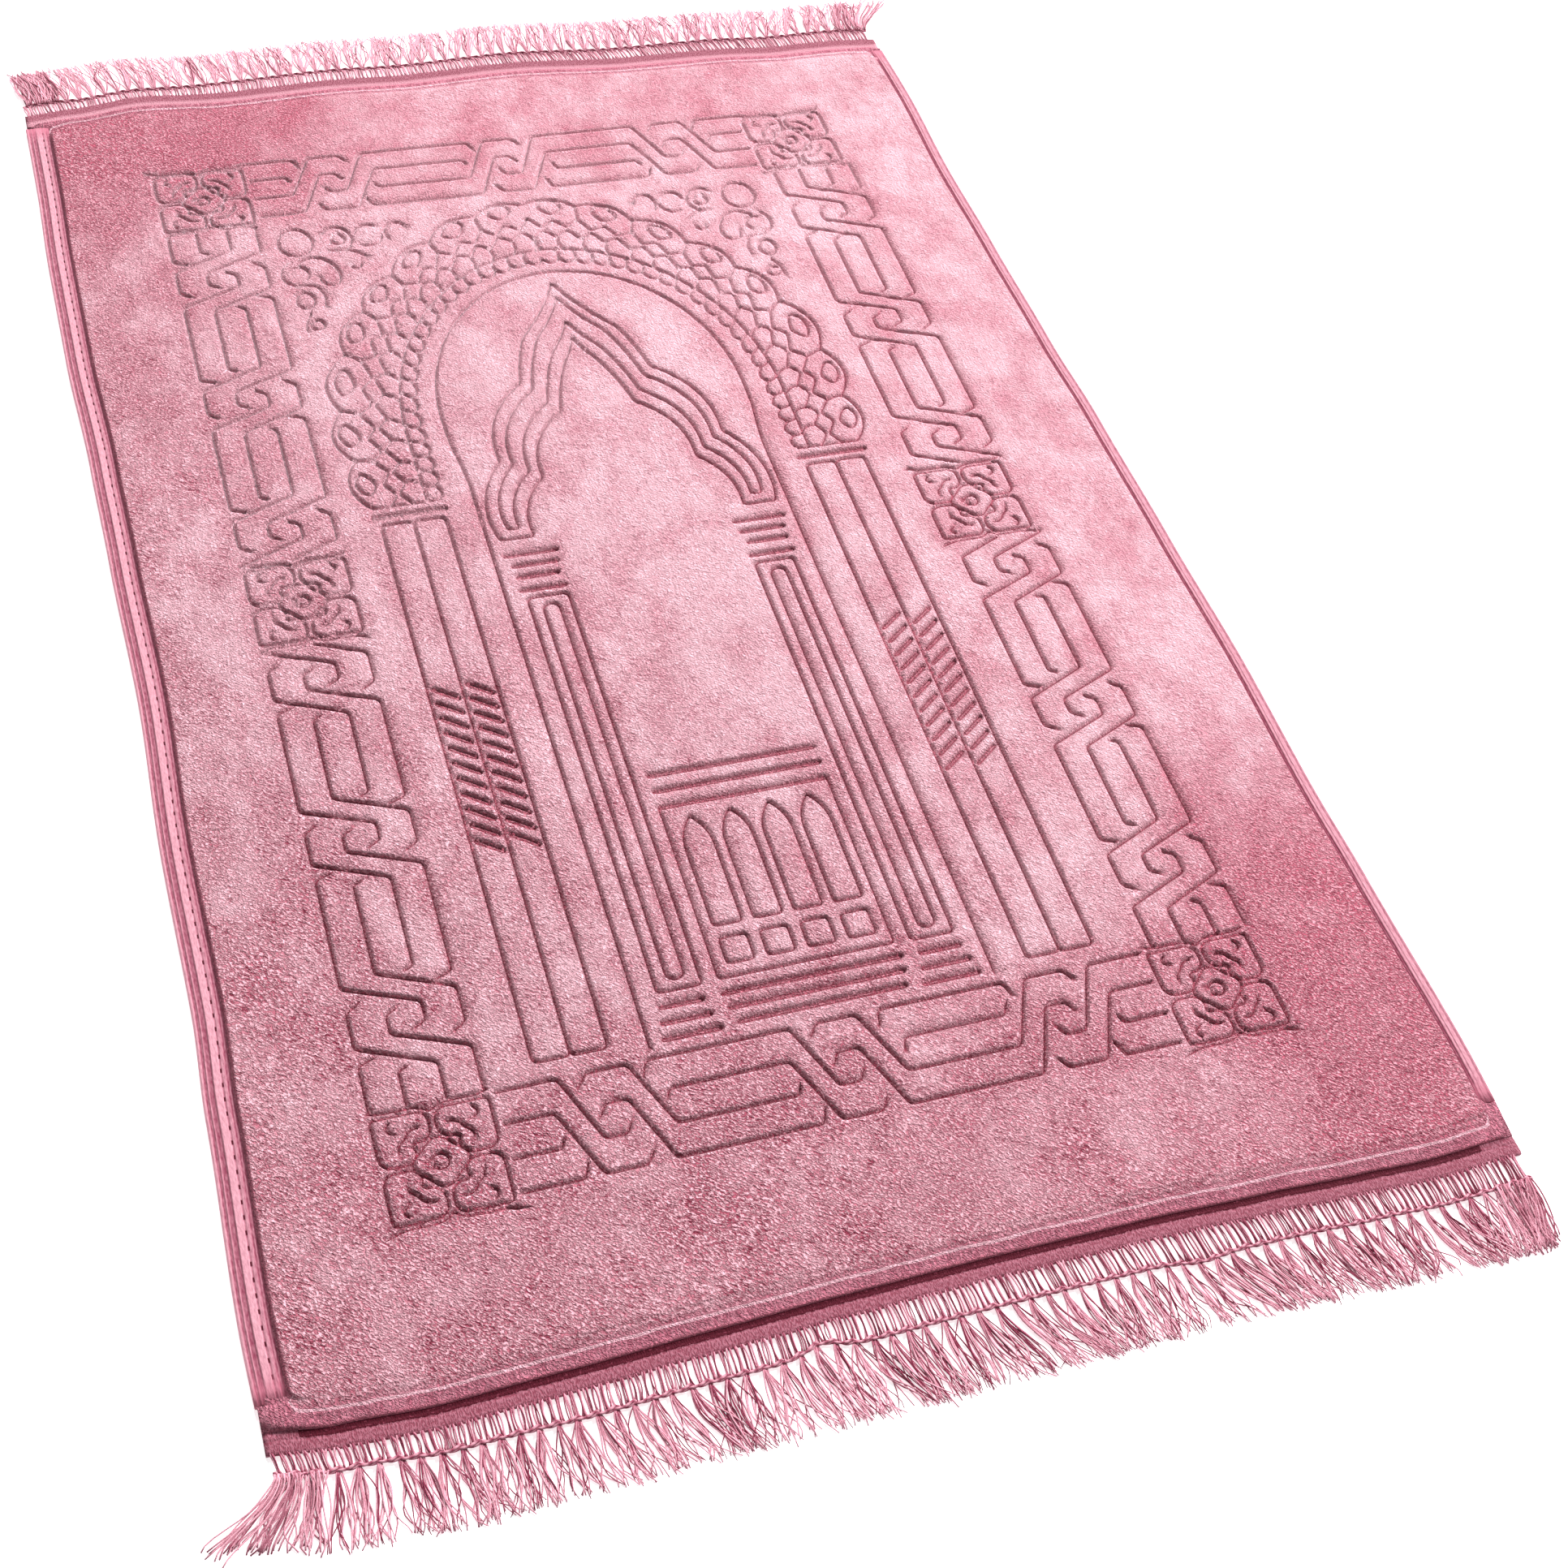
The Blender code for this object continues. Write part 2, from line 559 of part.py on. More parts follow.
def panel():
    """Bars across, and an arcade of narrow pointed arches over a row of small tiles."""
    lines = [([(bar.inner, bar.y), (bar.outer, bar.y)], False) for bar in MIDDLE_BARS]
    low_left, low_right, high_right, high_left = rectangle(*PANEL)
    lines.append(([high_left, low_left, low_right, high_right], False))
    for place in (-1.5, -0.5, 0.5, 1.5):
        middle = place * ARCADE_PITCH
        right = [(middle + ARCADE_HALF, ARCADE_BASE), (middle + ARCADE_HALF, ARCADE_SPRING)]
        right += bulged(right[-1], (middle, ARCADE_APEX), -0.10, 3)
        left = [(2 * middle - x, y) for x, y in reversed(right[:-1])]
        lines.append((right + left, True))
        lines.append((rectangle(middle - TILE_HALF, middle + TILE_HALF, TILE_LOW, TILE_HIGH), True))
    return lines


def leaf(row):
    """A leaf: an ellipse drawn to a point at its stem."""
    lean = math.radians(row.lean)
    points = []
    for angle in np.radians(np.arange(0, 360, 40)):
        along = -row.half_length * math.cos(angle)
        across = row.half_width * math.sin(angle) * math.sin(angle / 2.0)
        x = row.x + along * math.cos(lean) - across * math.sin(lean)
        points.append((x, row.y + along * math.sin(lean) + across * math.cos(lean)))
    return points


def scroll(row):
    """A scroll whose radius shrinks evenly to a fifth as it turns clockwise."""
    count = int(8 * row.turns) + 1
    points = []
    for i in range(count):
        share = i / (count - 1)
        radius = row.radius * (1.0 - 0.8 * share)
        angle = math.radians(row.start - 360.0 * row.turns * share)
        points.append((row.x + radius * math.cos(angle), row.y + radius * math.sin(angle)))
    return points


def sprigs():
    return mirrored([(leaf(row), True) for row in LEAVES] + [(scroll(row), False) for row in SCROLLS])


def pressed_lines():
    """Every pressed line of the pattern, as (points, whether it closes)."""
    border = side_fret() + end_fret(-1) + end_fret(1) + medallions()
    arches = lace_arch() + horseshoe() + niche()
    return border + arches + columns() + panel() + sprigs()


# ---------------------------------------------------------------- heights
def distance_to_lines(points, lines):
    """How far each point lies from the nearest pressed line."""
    starts, ends = [], []
    for line, closed in lines:
        line = np.array(line, float)
        starts.append(line if closed else line[:-1])
        ends.append(np.roll(line, -1, axis=0) if closed else line[1:])
    starts, ends = np.concatenate(starts), np.concatenate(ends)
    along = ends - starts
    length = np.maximum((along**2).sum(axis=1), 1e-9)
    nearest = np.full(len(points), np.inf)
    for first in range(0, len(points), 500):
        some = points[first : first + 500, None, :] - starts
        share = np.clip((some * along).sum(axis=2) / length, 0.0, 1.0)
        gap = np.linalg.norm(some - share[..., None] * along, axis=2)
        nearest[first : first + 500] = gap.min(axis=1)
    return nearest


def swell(x, y):
    """A slow rise and fall of the padding."""
    long_wave = np.sin(x / 61.0 + 0.8) * np.sin(y / 74.0 + 0.3)
    return SWELL * (0.65 * long_wave + 0.35 * np.sin((x - 1.3 * y) / 39.0))


def mat_top(points, lines):
    """Height of the mat's upper face: band, pile's edge, pile, and the lines pressed into it."""
    x, y = points[:, 0], points[:, 1]
    from_side = np.minimum(x - edge_x(-1, y, rabbet(-1)), edge_x(1, y, rabbet(1)) - x)
    from_end = np.minimum(y - fold_y(-1, x), fold_y(1, x) - y)
    band = np.interp(from_end, [row.inside for row in BAND_ROWS], [row.height for row in BAND_ROWS])
    fade = np.clip((from_side - 1.0) / 14.0, 0.0, 1.0)
    band = TONGUE_TOP + (band - TONGUE_TOP) * np.where(from_end < 1.0, 1.0, fade)
    pile = np.clip(pile_distance(x, y) / PILE_SLOPE, 0.0, 1.0)
    press = np.clip(1.0 - distance_to_lines(points, lines) / GROOVE_HALF, 0.0, 1.0)
    full = PILE_TOP + swell(x, y) - GROOVE_DEPTH * press
    return band + pile * (full - band)


def mat_bottom(points):
    """Height of the mat's lower face: flat on the floor, raised where a binding wraps under it."""
    x, y = points[:, 0], points[:, 1]
    notch = BINDING_REACH + BINDING_GAP + 0.01
    left = x < edge_x(-1, y, rabbet(-1)) + 0.01
    right = x > edge_x(1, y, rabbet(1)) - 0.01
    return np.where((left | right) & (np.abs(y) < notch), TONGUE_BOTTOM, 0.0)


# ---------------------------------------------------------------- meshes
def offset_line(points, closed, offset):
    """A line moved to its left by an offset, its corners mitred."""
    points = np.array(points, float)
    before = np.roll(points, 1, axis=0)
    after = np.roll(points, -1, axis=0)
    if not closed:
        before[0] = 2 * points[0] - points[1]
        after[-1] = 2 * points[-1] - points[-2]
    into = points - before
    out = after - points
    into /= np.linalg.norm(into, axis=1)[:, None]
    out /= np.linalg.norm(out, axis=1)[:, None]
    left_in = np.column_stack((-into[:, 1], into[:, 0]))
    left_out = np.column_stack((-out[:, 1], out[:, 0]))
    share = np.maximum(1.0 + (left_in * left_out).sum(axis=1), 0.55)
    return points + offset * (left_in + left_out) / share[:, None]


def groove_rows(lines):
    """Mesh lines for each pressed line: its bottom, and a ring or two shoulders round it."""
    rows = []
    for points, closed in lines:
        points = [tuple(p) for p in points]
        rows.append((points, closed))
        left = offset_line(points, closed, GROOVE_HALF)
        right = offset_line(points, closed, -GROOVE_HALF)
        if closed:
            rows += [([tuple(p) for p in left], True), ([tuple(p) for p in right], True)]
            continue
        first, last = np.array(points[0]), np.array(points[-1])
        out_first, out_last = first - np.array(points[1]), last - np.array(points[-2])
        tip_first = first + GROOVE_HALF * out_first / np.linalg.norm(out_first)
        tip_last = last + GROOVE_HALF * out_last / np.linalg.norm(out_last)
        ring = [tip_last] + list(left[::-1]) + [tip_first] + list(right)
        rows.append(([tuple(p) for p in ring], True))
    return rows


def triangulate(loop, rows):
    """Points and triangles that fill a closed loop and follow every row of mesh lines in it."""
    points = [Vector(p) for p in loop]
    edges = []
    for row, closed in rows:
        first = len(points)
        points += [Vector(p) for p in row]
        edges += [(first + i, first + i + 1) for i in range(len(row) - 1)]
        edges += [(first + len(row) - 1, first)] if closed else []
    made = delaunay_2d_cdt(points, edges, [list(range(len(loop)))], 1, 0.05)
    return np.array([tuple(p) for p in made[0]]), [tuple(face) for face in made[2]]


def boundary_of(faces):
    """The outline of some triangles, as point numbers in order."""
    after = {}
    for face in faces:
        for a, b in zip(face, face[1:] + face[:1]):
            after[(a, b)] = b
    open_edges = {a: b for (a, b) in after if (b, a) not in after}
    start = next(iter(open_edges))
    order = [start]
    while open_edges[order[-1]] != start:
        order.append(open_edges[order[-1]])
    return order


def slab(name, colour, loop, rows, top_height, bottom_rows, bottom_height):
    """A solid with a shaped upper and lower face, between upright walls round its loop."""
    points, faces = triangulate(loop, rows)
    rim = boundary_of(faces)
    below, under = triangulate([tuple(points[i]) for i in rim], bottom_rows)
    mesh = bmesh.new()
    place = Vector((PATTERN_X, PATTERN_Y, 0.0))
    high, low = top_height(points), bottom_height(below)
    tops = [mesh.verts.new((Vector((p[0], p[1], h)) + place) * MM) for p, h in zip(points, high)]
    bottoms = [mesh.verts.new((Vector((p[0], p[1], h)) + place) * MM) for p, h in zip(below, low)]
    for face in faces:
        mesh.faces.new([tops[i] for i in face])
    for face in under:
        mesh.faces.new([bottoms[i] for i in reversed(face)])
    nearest = [int(np.argmin(((below - points[i]) ** 2).sum(axis=1))) for i in rim]
    for i in range(len(rim)):
        j = (i + 1) % len(rim)
        mesh.faces.new((tops[rim[i]], bottoms[nearest[i]], bottoms[nearest[j]], tops[rim[j]]))
    bmesh.ops.recalc_face_normals(mesh, faces=mesh.faces)
    return finish(name, colour, mesh)


def finish(name, colour, mesh):
    """An object in the rug's collection from a mesh in the making."""
    data = bpy.data.meshes.new(name)
    mesh.to_mesh(data)
    mesh.free()
    data.materials.append(material(name, COLOURS[colour]))
    made = bpy.data.objects.new(name, data)
    bpy.data.collections[COLLECTION].objects.link(made)
    return made


def material(name, colour):
    made = bpy.data.materials.new(name + "_cloth")
    made.use_nodes = True
    shader = made.node_tree.nodes["Principled BSDF"]
    shader.inputs["Base Color"].default_value = colour
    shader.inputs["Roughness"].default_value = 0.95
    return made


# ---------------------------------------------------------------- the rug's pieces
def make_mat():
    lines = pressed_lines()
    rows = groove_rows(lines) + [(pile_loop(0.0), True), (pile_loop(PILE_SLOPE), True)]
    for row in BAND_ROWS[1:-1]:
        for end in (-1, 1):
            rows.append((fold_line(end, BAND_INWARD, -row.inside), False))
    notch = BINDING_REACH + BINDING_GAP
    under = []
    for side in (-1, 1):
        for step in (0.0, RABBET_SLOPE):
            inner = edge_line(side, rabbet(side) + step, notch + step)
            first = (float(edge_x(side, -notch, TONGUE_INWARD)), -notch - step)
            last = (float(edge_x(side, notch, TONGUE_INWARD)), notch + step)
            under.append(([first] + inner + [last], False))
    slab("rug_mat", "pile", mat_loop(), rows, lambda p: mat_top(p, lines), under, mat_bottom)


def make_binding(side, name):
    """A tape folded round one long edge: one section carried along the edge, its ends closed."""
    share = (SIDE_WIDTH[side] - BINDING_FOLD) / (BINDING_WIDTH - BINDING_FOLD)
    mesh = bmesh.new()
    place = Vector((PATTERN_X, PATTERN_Y, 0.0))
    lines = []
    for row in BINDING_ROWS:
        squeezed = BINDING_FOLD + (row.inward - BINDING_FOLD) * share
        inward = min(row.inward, BINDING_FOLD) if row.inward <= BINDING_FOLD else squeezed
        line = [Vector((x, y, row.height)) + place for x, y in edge_line(side, inward)]
        lines.append([mesh.verts.new(point * MM) for point in line])
    rings = list(zip(*lines))
    for ring, after in zip(rings[:-1], rings[1:]):
        for i in range(len(ring)):
            j = (i + 1) % len(ring)
            mesh.faces.new((ring[i], ring[j], after[j], after[i]))
    mesh.faces.new(rings[0])
    mesh.faces.new(rings[-1])
    bmesh.ops.recalc_face_normals(mesh, faces=mesh.faces)
    finish(name, "binding", mesh)


def strand_places(end):
    """Root and tip places of every loose strand along a fringe, from left to right."""
    rng = random.Random(7 + end)
    left = float(edge_x(-1, end * BINDING_REACH, CORNER_INWARD + 2.0))
    right = float(edge_x(1, end * BINDING_REACH, CORNER_INWARD + 2.0))
    roots = list(np.linspace(left, left + CORNER_ZONE, CORNER_STRANDS))
    tips = list(roots)
    pitch = (right - left - 2 * CORNER_ZONE) / BUNCHES
    for bunch in range(BUNCHES):
        middle = left + CORNER_ZONE + (bunch + 0.5) * pitch
        stray = rng.uniform(-BUNCH_STRAY, BUNCH_STRAY)
        roots += [middle - BUNCH_HALF_ROOT, middle + BUNCH_HALF_ROOT]
        tips += [middle + stray - BUNCH_HALF_TIP, middle + stray + BUNCH_HALF_TIP]
    corner = list(np.linspace(right - CORNER_ZONE, right, CORNER_STRANDS))
    return roots + corner, tips + corner


def chain_out(end, x):
    """How far outside the fold line the twined row runs."""
    sizes = [row.near if end < 0 else row.far for row in CHAIN_ROWS]
    return eased(x, [row.x for row in CHAIN_ROWS], sizes)


def chain_line(end, outward):
    """Points along the twined row, moved outward."""
    points = fold_line(end, CORNER_INWARD + 2.5)
    return [(x, y + end * float(chain_out(end, x) + outward)) for x, y in points]


def fringe_loop(end):
    """A fringe's outline: its header along the fold line, then strand after strand."""
    rng = random.Random(3 + end)
    row = FRINGES[end]
    reach = [row.left_tip, row.middle_tip, row.right_tip]
    leans = [lean.near if end < 0 else lean.far for lean in LEAN_ROWS]
    loop = fold_line(end, CORNER_INWARD, FRINGE_GAP)
    loop = loop if end > 0 else list(reversed(loop))
    roots, tips = strand_places(end)
    strands = []
    for root, tip in zip(roots, tips):
        length = float(np.interp(root, (-350, 0, 350), reach)) + rng.uniform(-2.2, 2.0)
        lean = float(eased(root, [r.x for r in LEAN_ROWS], leans))
        low = float(fold_y(end, root, chain_out(end, root) + CHAIN_HALF))
        high = float(fold_y(end, root, length))
        strand = [
            (root - STRAND_ROOT / 2, low),
            (tip + lean - STRAND_TIP / 2, high),
            (tip + lean + STRAND_TIP / 2, high),
            (root + STRAND_ROOT / 2, low),
        ]
        strands.append(strand)
    outline = [point for strand in strands for point in strand]
    return loop + (list(reversed(outline)) if end > 0 else outline)


def fringe_top(end, points):
    """Height of a fringe: woven header, threads, the twined row, and strands thinning to the tip."""
    out = end * points[:, 1] - end * fold_y(end, points[:, 0])
    header = FRINGES[end].header
    woven = np.interp(out, [header, header + HEADER_STEP], [HEADER_TOP, LADDER_TOP])
    past = out - chain_out(end, points[:, 0])
    places = [-CHAIN_HALF, 0.0, CHAIN_HALF, STRAND_RUN]
    loose = np.interp(past, places, [LADDER_TOP, CHAIN_TOP, STRAND_TOP, TIP_TOP])
    return np.where(out < header + HEADER_STEP, woven, loose)


def make_fringe(end, name):
    rows = []
    for outward in (0.0, HEADER_STEP):
        rows.append((fold_line(end, CORNER_INWARD + 2.5, FRINGES[end].header + outward), False))
    for outward in (-CHAIN_HALF, 0.0):
        rows.append((chain_line(end, outward), False))
    slab(name, "fringe", fringe_loop(end), rows, lambda p: fringe_top(end, p), [], lambda p: np.zeros(len(p)))


COLLECTION = "prayer_rug"


def main():
    for old in list(bpy.data.objects):
        bpy.data.objects.remove(old, do_unlink=True)
    rug = bpy.data.collections.new(COLLECTION)
    bpy.context.scene.collection.children.link(rug)
    make_mat()
    make_binding(-1, "side_binding_left")
    make_binding(1, "side_binding_right")
    make_fringe(-1, "fringe_near")
    make_fringe(1, "fringe_far")


main()
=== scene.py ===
import math
from collections import namedtuple

import bpy
import numpy as np
from mathutils import Matrix, Vector
from mathutils.geometry import delaunay_2d_cdt


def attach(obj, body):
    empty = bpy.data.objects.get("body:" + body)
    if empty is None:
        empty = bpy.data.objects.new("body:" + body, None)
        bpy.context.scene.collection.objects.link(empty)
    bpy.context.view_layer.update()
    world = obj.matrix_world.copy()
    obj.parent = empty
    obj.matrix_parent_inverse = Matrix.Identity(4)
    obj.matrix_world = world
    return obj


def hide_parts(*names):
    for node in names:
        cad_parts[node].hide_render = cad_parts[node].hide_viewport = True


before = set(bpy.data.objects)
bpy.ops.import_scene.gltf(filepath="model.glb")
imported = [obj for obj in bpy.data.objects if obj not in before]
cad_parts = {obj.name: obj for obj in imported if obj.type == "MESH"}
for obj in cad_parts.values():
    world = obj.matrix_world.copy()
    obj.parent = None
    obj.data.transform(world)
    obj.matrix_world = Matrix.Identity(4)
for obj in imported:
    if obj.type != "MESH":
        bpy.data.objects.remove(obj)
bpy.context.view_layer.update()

MM = 0.001


def table(fields, *rows):
    """Rows whose values can be read by the fields' names."""
    row_kind = namedtuple("Row", fields)
    return tuple(row_kind(*row) for row in rows)


# ---------------------------------------------------------------- driving sizes, in millimetres
PATTERN_X, PATTERN_Y = -1.18, 2.25  # middle of the border, seen from the middle of the rug

PILE_TOP = 6.5
TONGUE_TOP, TONGUE_BOTTOM, CORNER_TOP = 3.4, 1.6, 5.0
GROOVE_DEPTH, GROOVE_HALF = 2.3, 1.9
SWELL, DENT_DEPTH, PILE_LIFT = 0.35, 0.22, 0.15
SAG_DEPTH, SAG_RUN = 0.5, 5.0  # the padding sinks a little towards every pressed line

# The cloth's two long edges, and the fold line at each end, all measured from the border's middle.
SIDE_NAMES, END_NAMES = {-1: "left", 1: "right"}, {-1: "near", 1: "far"}
EDGE_ROWS = table(
    "y left right",
    (-560, 347.0, 359.0), (-480, 349.0, 361.0), (-360, 346.5, 359.0), (-290, 344.0, 357.5),
    (-180, 345.0, 359.0), (-60, 342.0, 356.5), (60, 344.0, 354.5), (150, 345.0, 351.0),
    (260, 348.2, 349.0), (360, 348.5, 347.0), (450, 347.0, 349.0), (560, 347.0, 346.5),
)
FOLD_ROWS = table(
    "x near far",
    (-350, 537.0, 527.5), (-310, 542.5, 532.5), (-260, 545.5, 540.0), (-200, 544.4, 535.8),
    (-110, 542.5, 539.5), (-55, 541.3, 537.3), (30, 540.7, 541.0), (130, 541.5, 534.0),
    (200, 543.8, 534.2), (260, 546.3, 530.3), (300, 548.0, 531.3), (360, 546.0, 528.0),
)
EDGE_STATIONS, FOLD_STATIONS = 141, 121

# Section of the flat woven band at each end: how far inside the fold line, and how high.
BAND_ROWS = table(
    "inside height",
    (0.0, 2.8), (0.8, 4.3), (6.0, 4.6), (7.4, 5.7), (8.6, 5.3), (10.2, 4.8), (11.6, 5.7), (14.0, 6.0),
)
PILE_FOOT = BAND_ROWS[-1].inside  # the foot of the pile's edge, seen from the fold line
RIDGE_INSIDE = 7.0  # the pile's colour starts on this ridge of the band
BAND_FADE = 14.0  # the band's ribs fade out over this width at the long edges
CORNER_RADIUS, PILE_SLOPE = 6.0, 1.9  # the pile's rounded corner, and its steep edge
CORNER_CLEAR = 5.0  # no station of a long edge comes nearer to a corner's arc

SIDE_WIDTH = {-1: 16.6, 1: 9.6}
BINDING_REACH = 523.5
TONGUE_INWARD, CORNER_INWARD = 3.5, 1.2
BINDING_GAP, RABBET_GAP, RABBET_SLOPE = 0.6, 0.2, 0.3
NOTCH = BINDING_REACH + BINDING_GAP  # how far the mat's notch for a binding runs from the middle

# Fringe: distances outwards from the fold line.
# tone is how dark its yarns are, dark the share of dark ones, and ladders the open row's threads a bunch.
FringeRow = namedtuple("FringeRow", "header left_tip middle_tip right_tip tone dark ladders")
FRINGES = {
    -1: FringeRow(11.5, 60.5, 67.5, 66.0, 1.0, 0.38, 2.6),
    1: FringeRow(14.5, 68.0, 70.0, 68.5, 0.6, 0.12, 3.2),
}
CHAIN_ROWS = table(
    "x near far",
    (-350, 22.0, 27.5), (-300, 22.0, 24.0), (-250, 23.5, 23.0), (-190, 25.2, 26.3), (0, 26.2, 26.5),
    (200, 26.5, 27.0), (350, 26.5, 27.5),
)
BUNCHES, CORNER_ZONE = 66, 26.0
HEADER_GAP, HEADER_TOP, HEADER_BOTTOM = 0.4, 2.4, 0.1
# How far each bunch of yarns leans to the right from root to tip, at places along a fringe.
LEAN_ROWS = table(
    "x near far",
    (-350, -40.0, -6.0), (-322, -5.0, -9.0), (-280, 1.0, -9.0), (-210, 3.0, -5.0), (-182, 5.0, -4.0),
    (-165, 14.0, -4.0), (-140, 12.0, -4.0), (-110, 4.0, 0.0), (-70, 12.0, 3.0), (-30, 15.0, 4.0),
    (0, 6.0, 4.0), (35, 20.0, 5.0), (75, 18.0, 5.0), (105, 5.0, 4.0), (130, 0.0, 3.0), (150, 18.0, 2.0),
    (175, 24.0, 0.0), (200, 12.0, 3.0), (240, 12.0, 8.0), (270, 6.0, 10.0), (300, 19.0, 10.0),
    (325, 0.0, 9.0), (335, 4.0, 8.0), (346, -4.0, 34.0),
)

# ---------------------------------------------------------------- the pattern, in millimetres
# Border: rails of the fret across its strip, and its run along the strip.
RAILS = (0.0, 21.0, 42.5, 63.0)
SIDE_OUTER_RAIL = 265.0
INNER_RAIL = {-1: 380.0, 1: 388.0}
SIDE_PITCH, SIDE_FIRST = 128.3, 64.5
END_PITCH, END_MIDDLE = 135.0, 1.0
MEDALLION_X, MEDALLION_Y, MEDALLION_HALF = 231.0, 413.7, 33.3
STRIP_GAP, SIDE_SHIFT = 4.0, 2.3  # side strips lie a little to the right of the middle
END_BOX = table(
    "rail near_hook far_hook low high",
    (0, 9.0, 9.0, 29.0, 106.0), (1, 7.0, -6.0, 38.0, 100.0),
)

# The arch of lacework: the cusps between its outer scallops, from the top down one leg.
CUSPS = table(
    "x y",
    (0.0, 368.7), (39.0, 361.0), (78.0, 337.7), (112.0, 304.7), (140.0, 270.0), (161.0, 227.0),
    (175.0, 170.0), (175.0, 120.0), (171.0, 72.5),
)
SCALLOP_BULGE = 0.20
LACE_HALF, LACE_SPRING, LACE_RISE, LACE_FOOT = 132.5, 140.0, 171.0, 72.5
BEADS_A_SIDE = 21
# Pads of the lace, as points along it (in scallops) and across it (0 inside, 1 outside).
Pad = namedtuple("Pad", "along across")
LATTICE_LOW = (Pad(0.0, 0.31), Pad(0.24, 0.49), Pad(0.47, 0.33), Pad(0.74, 0.49), Pad(1.0, 0.31))
LATTICE_HIGH = (Pad(0.0, 0.73), Pad(0.24, 0.53), Pad(0.50, 0.70), Pad(0.76, 0.53), Pad(1.0, 0.73))
TIES = (
    (Pad(0.05, 0.34), Pad(0.00, 0.20), Pad(0.06, 0.09)),
    (Pad(0.50, 0.36), Pad(0.47, 0.20), Pad(0.54, 0.09)),
    (Pad(1.0, 0.73), Pad(1.0, 1.0)),
)
PETAL_HALF = (Pad(0.0, 1.14), Pad(0.13, 1.10), Pad(0.24, 0.98), Pad(0.13, 0.87), Pad(0.0, 0.81))
BEAD_PARTING, BEAD_CUSP, BEAD_PEAK, BEAD_FLATNESS = 0.07, -0.11, -0.21, 0.7
SCALLOP_POINTS, BEAD_POINTS, PARTING_POINTS = 10, 6, 60

# The horseshoe line inside it.
HORSESHOE_HALF, HORSESHOE_SPRING, HORSESHOE_RISE = 109.0, 150.0, 139.0
NECK_X, NECK_Y, LEG_FOOT = 104.5, 85.0, -371.0

# The pointed niche, one row for each of its four lines.
NICHE = table(
    "foot_x foot_y cusp_x cusp_y upper_x upper_y neck_x neck_y apex_y",
    (96.0, 27.0, 79.5, 101.0, 47.5, 175.0, 34.5, 222.0, 277.0),
    (88.5, 36.0, 71.5, 96.0, 41.0, 166.0, 24.5, 220.0, 261.0),
    (81.0, 36.0, 62.0, 87.5, 33.5, 152.0, 17.5, 203.0, 234.0),
    (73.0, 27.0, 54.5, 80.0, 27.0, 141.0, 11.0, 192.0, 216.0),
)
NICHE_BULGES = (0.13, 0.14, 0.03, -0.04)

# Columns, capitals, steps and the small arcade.
SIDE_BARS = table(
    "y inner outer",
    (12.5, 61, 97), (2.5, 63, 94), (-7.5, 65, 93), (-19.5, 63, 94), (-348.7, 66, 92), (-359.2, 64, 94),
    (-369.5, 61, 96),
)
MIDDLE_BARS = table(
    "y inner outer",
    (-348.0, -55, 55), (-358.0, -53.5, 53.5), (-368.0, -51, 51), (-186.0, -54, 54), (-198.5, -54, 54),
    (-211.0, -54, 54),
)
Box = namedtuple("Box", "inner outer low high")
INNER_COLUMN = Box(64.0, 91.0, -339.0, -27.0)
INNER_SLOT = Box(72.2, 82.8, -332.0, -34.0)
OUTER_COLUMN = Box(127.0, 170.0, -367.0, 56.0)
OUTER_COLUMN_MIDDLE, OUTER_COLUMN_CAP = 148.5, 64.0
ROPE_LOW, ROPE_HIGH, ROPE_PITCH, ROPE_RISE, ROPE_WIDTH, ROPE_INSET = -216, -84, 12.1, 11.5, 15.5, 3.0
PANEL = Box(-54.0, 54.0, -338.0, -211.0)
ARCADE_PITCH, ARCADE_HALF = 25.0, 9.0
ARCADE_BASE, ARCADE_SPRING, ARCADE_APEX = -302.0, -245.0, -221.0
TILE_HALF, TILE_LOW, TILE_HIGH = 8.5, -329.0, -311.0

# A medallion's corner leaf, as arcs from its side's notch round to the other, and its vein.
ARC_FIELDS = "x y half_x half_y first last"
LEAF_ARCS = table(
    ARC_FIELDS,
    (25.5, 8.6, 7.0, 7.0, 0, -90), (19.0, 8.6, 7.0, 7.0, -90, -210), (9.5, 21.5, 7.6, 7.6, 280, 180),
    (8.4, 26.0, 6.5, 6.5, 180, 90),
)
RING_MIDDLE, RING_HALF, FLOWER_HALF, FLOWER_WAVE = -0.5, 4.6, 13.8, 1.6
LEAF_CORNER, GATE_OUT, GATE_POINT = 32.5, 35.4, 31.0
GATE = ((-33.0, 2.0), (-27.0, 0.0), (-8.0, 0.0), (-3.0, -1.7))  # its left half, from GATE_OUT
VEIN = ((8.0, 22.8), (11.0, 22.8), (14.0, 21.2), (16.0, 18.0), (18.0, 16.0), (20.2, 14.2), (20.6, 11.5))
COMMA = ((23.0, 28.7), (25.0, 26.5), (25.0, 24.0), (23.0, 22.6))

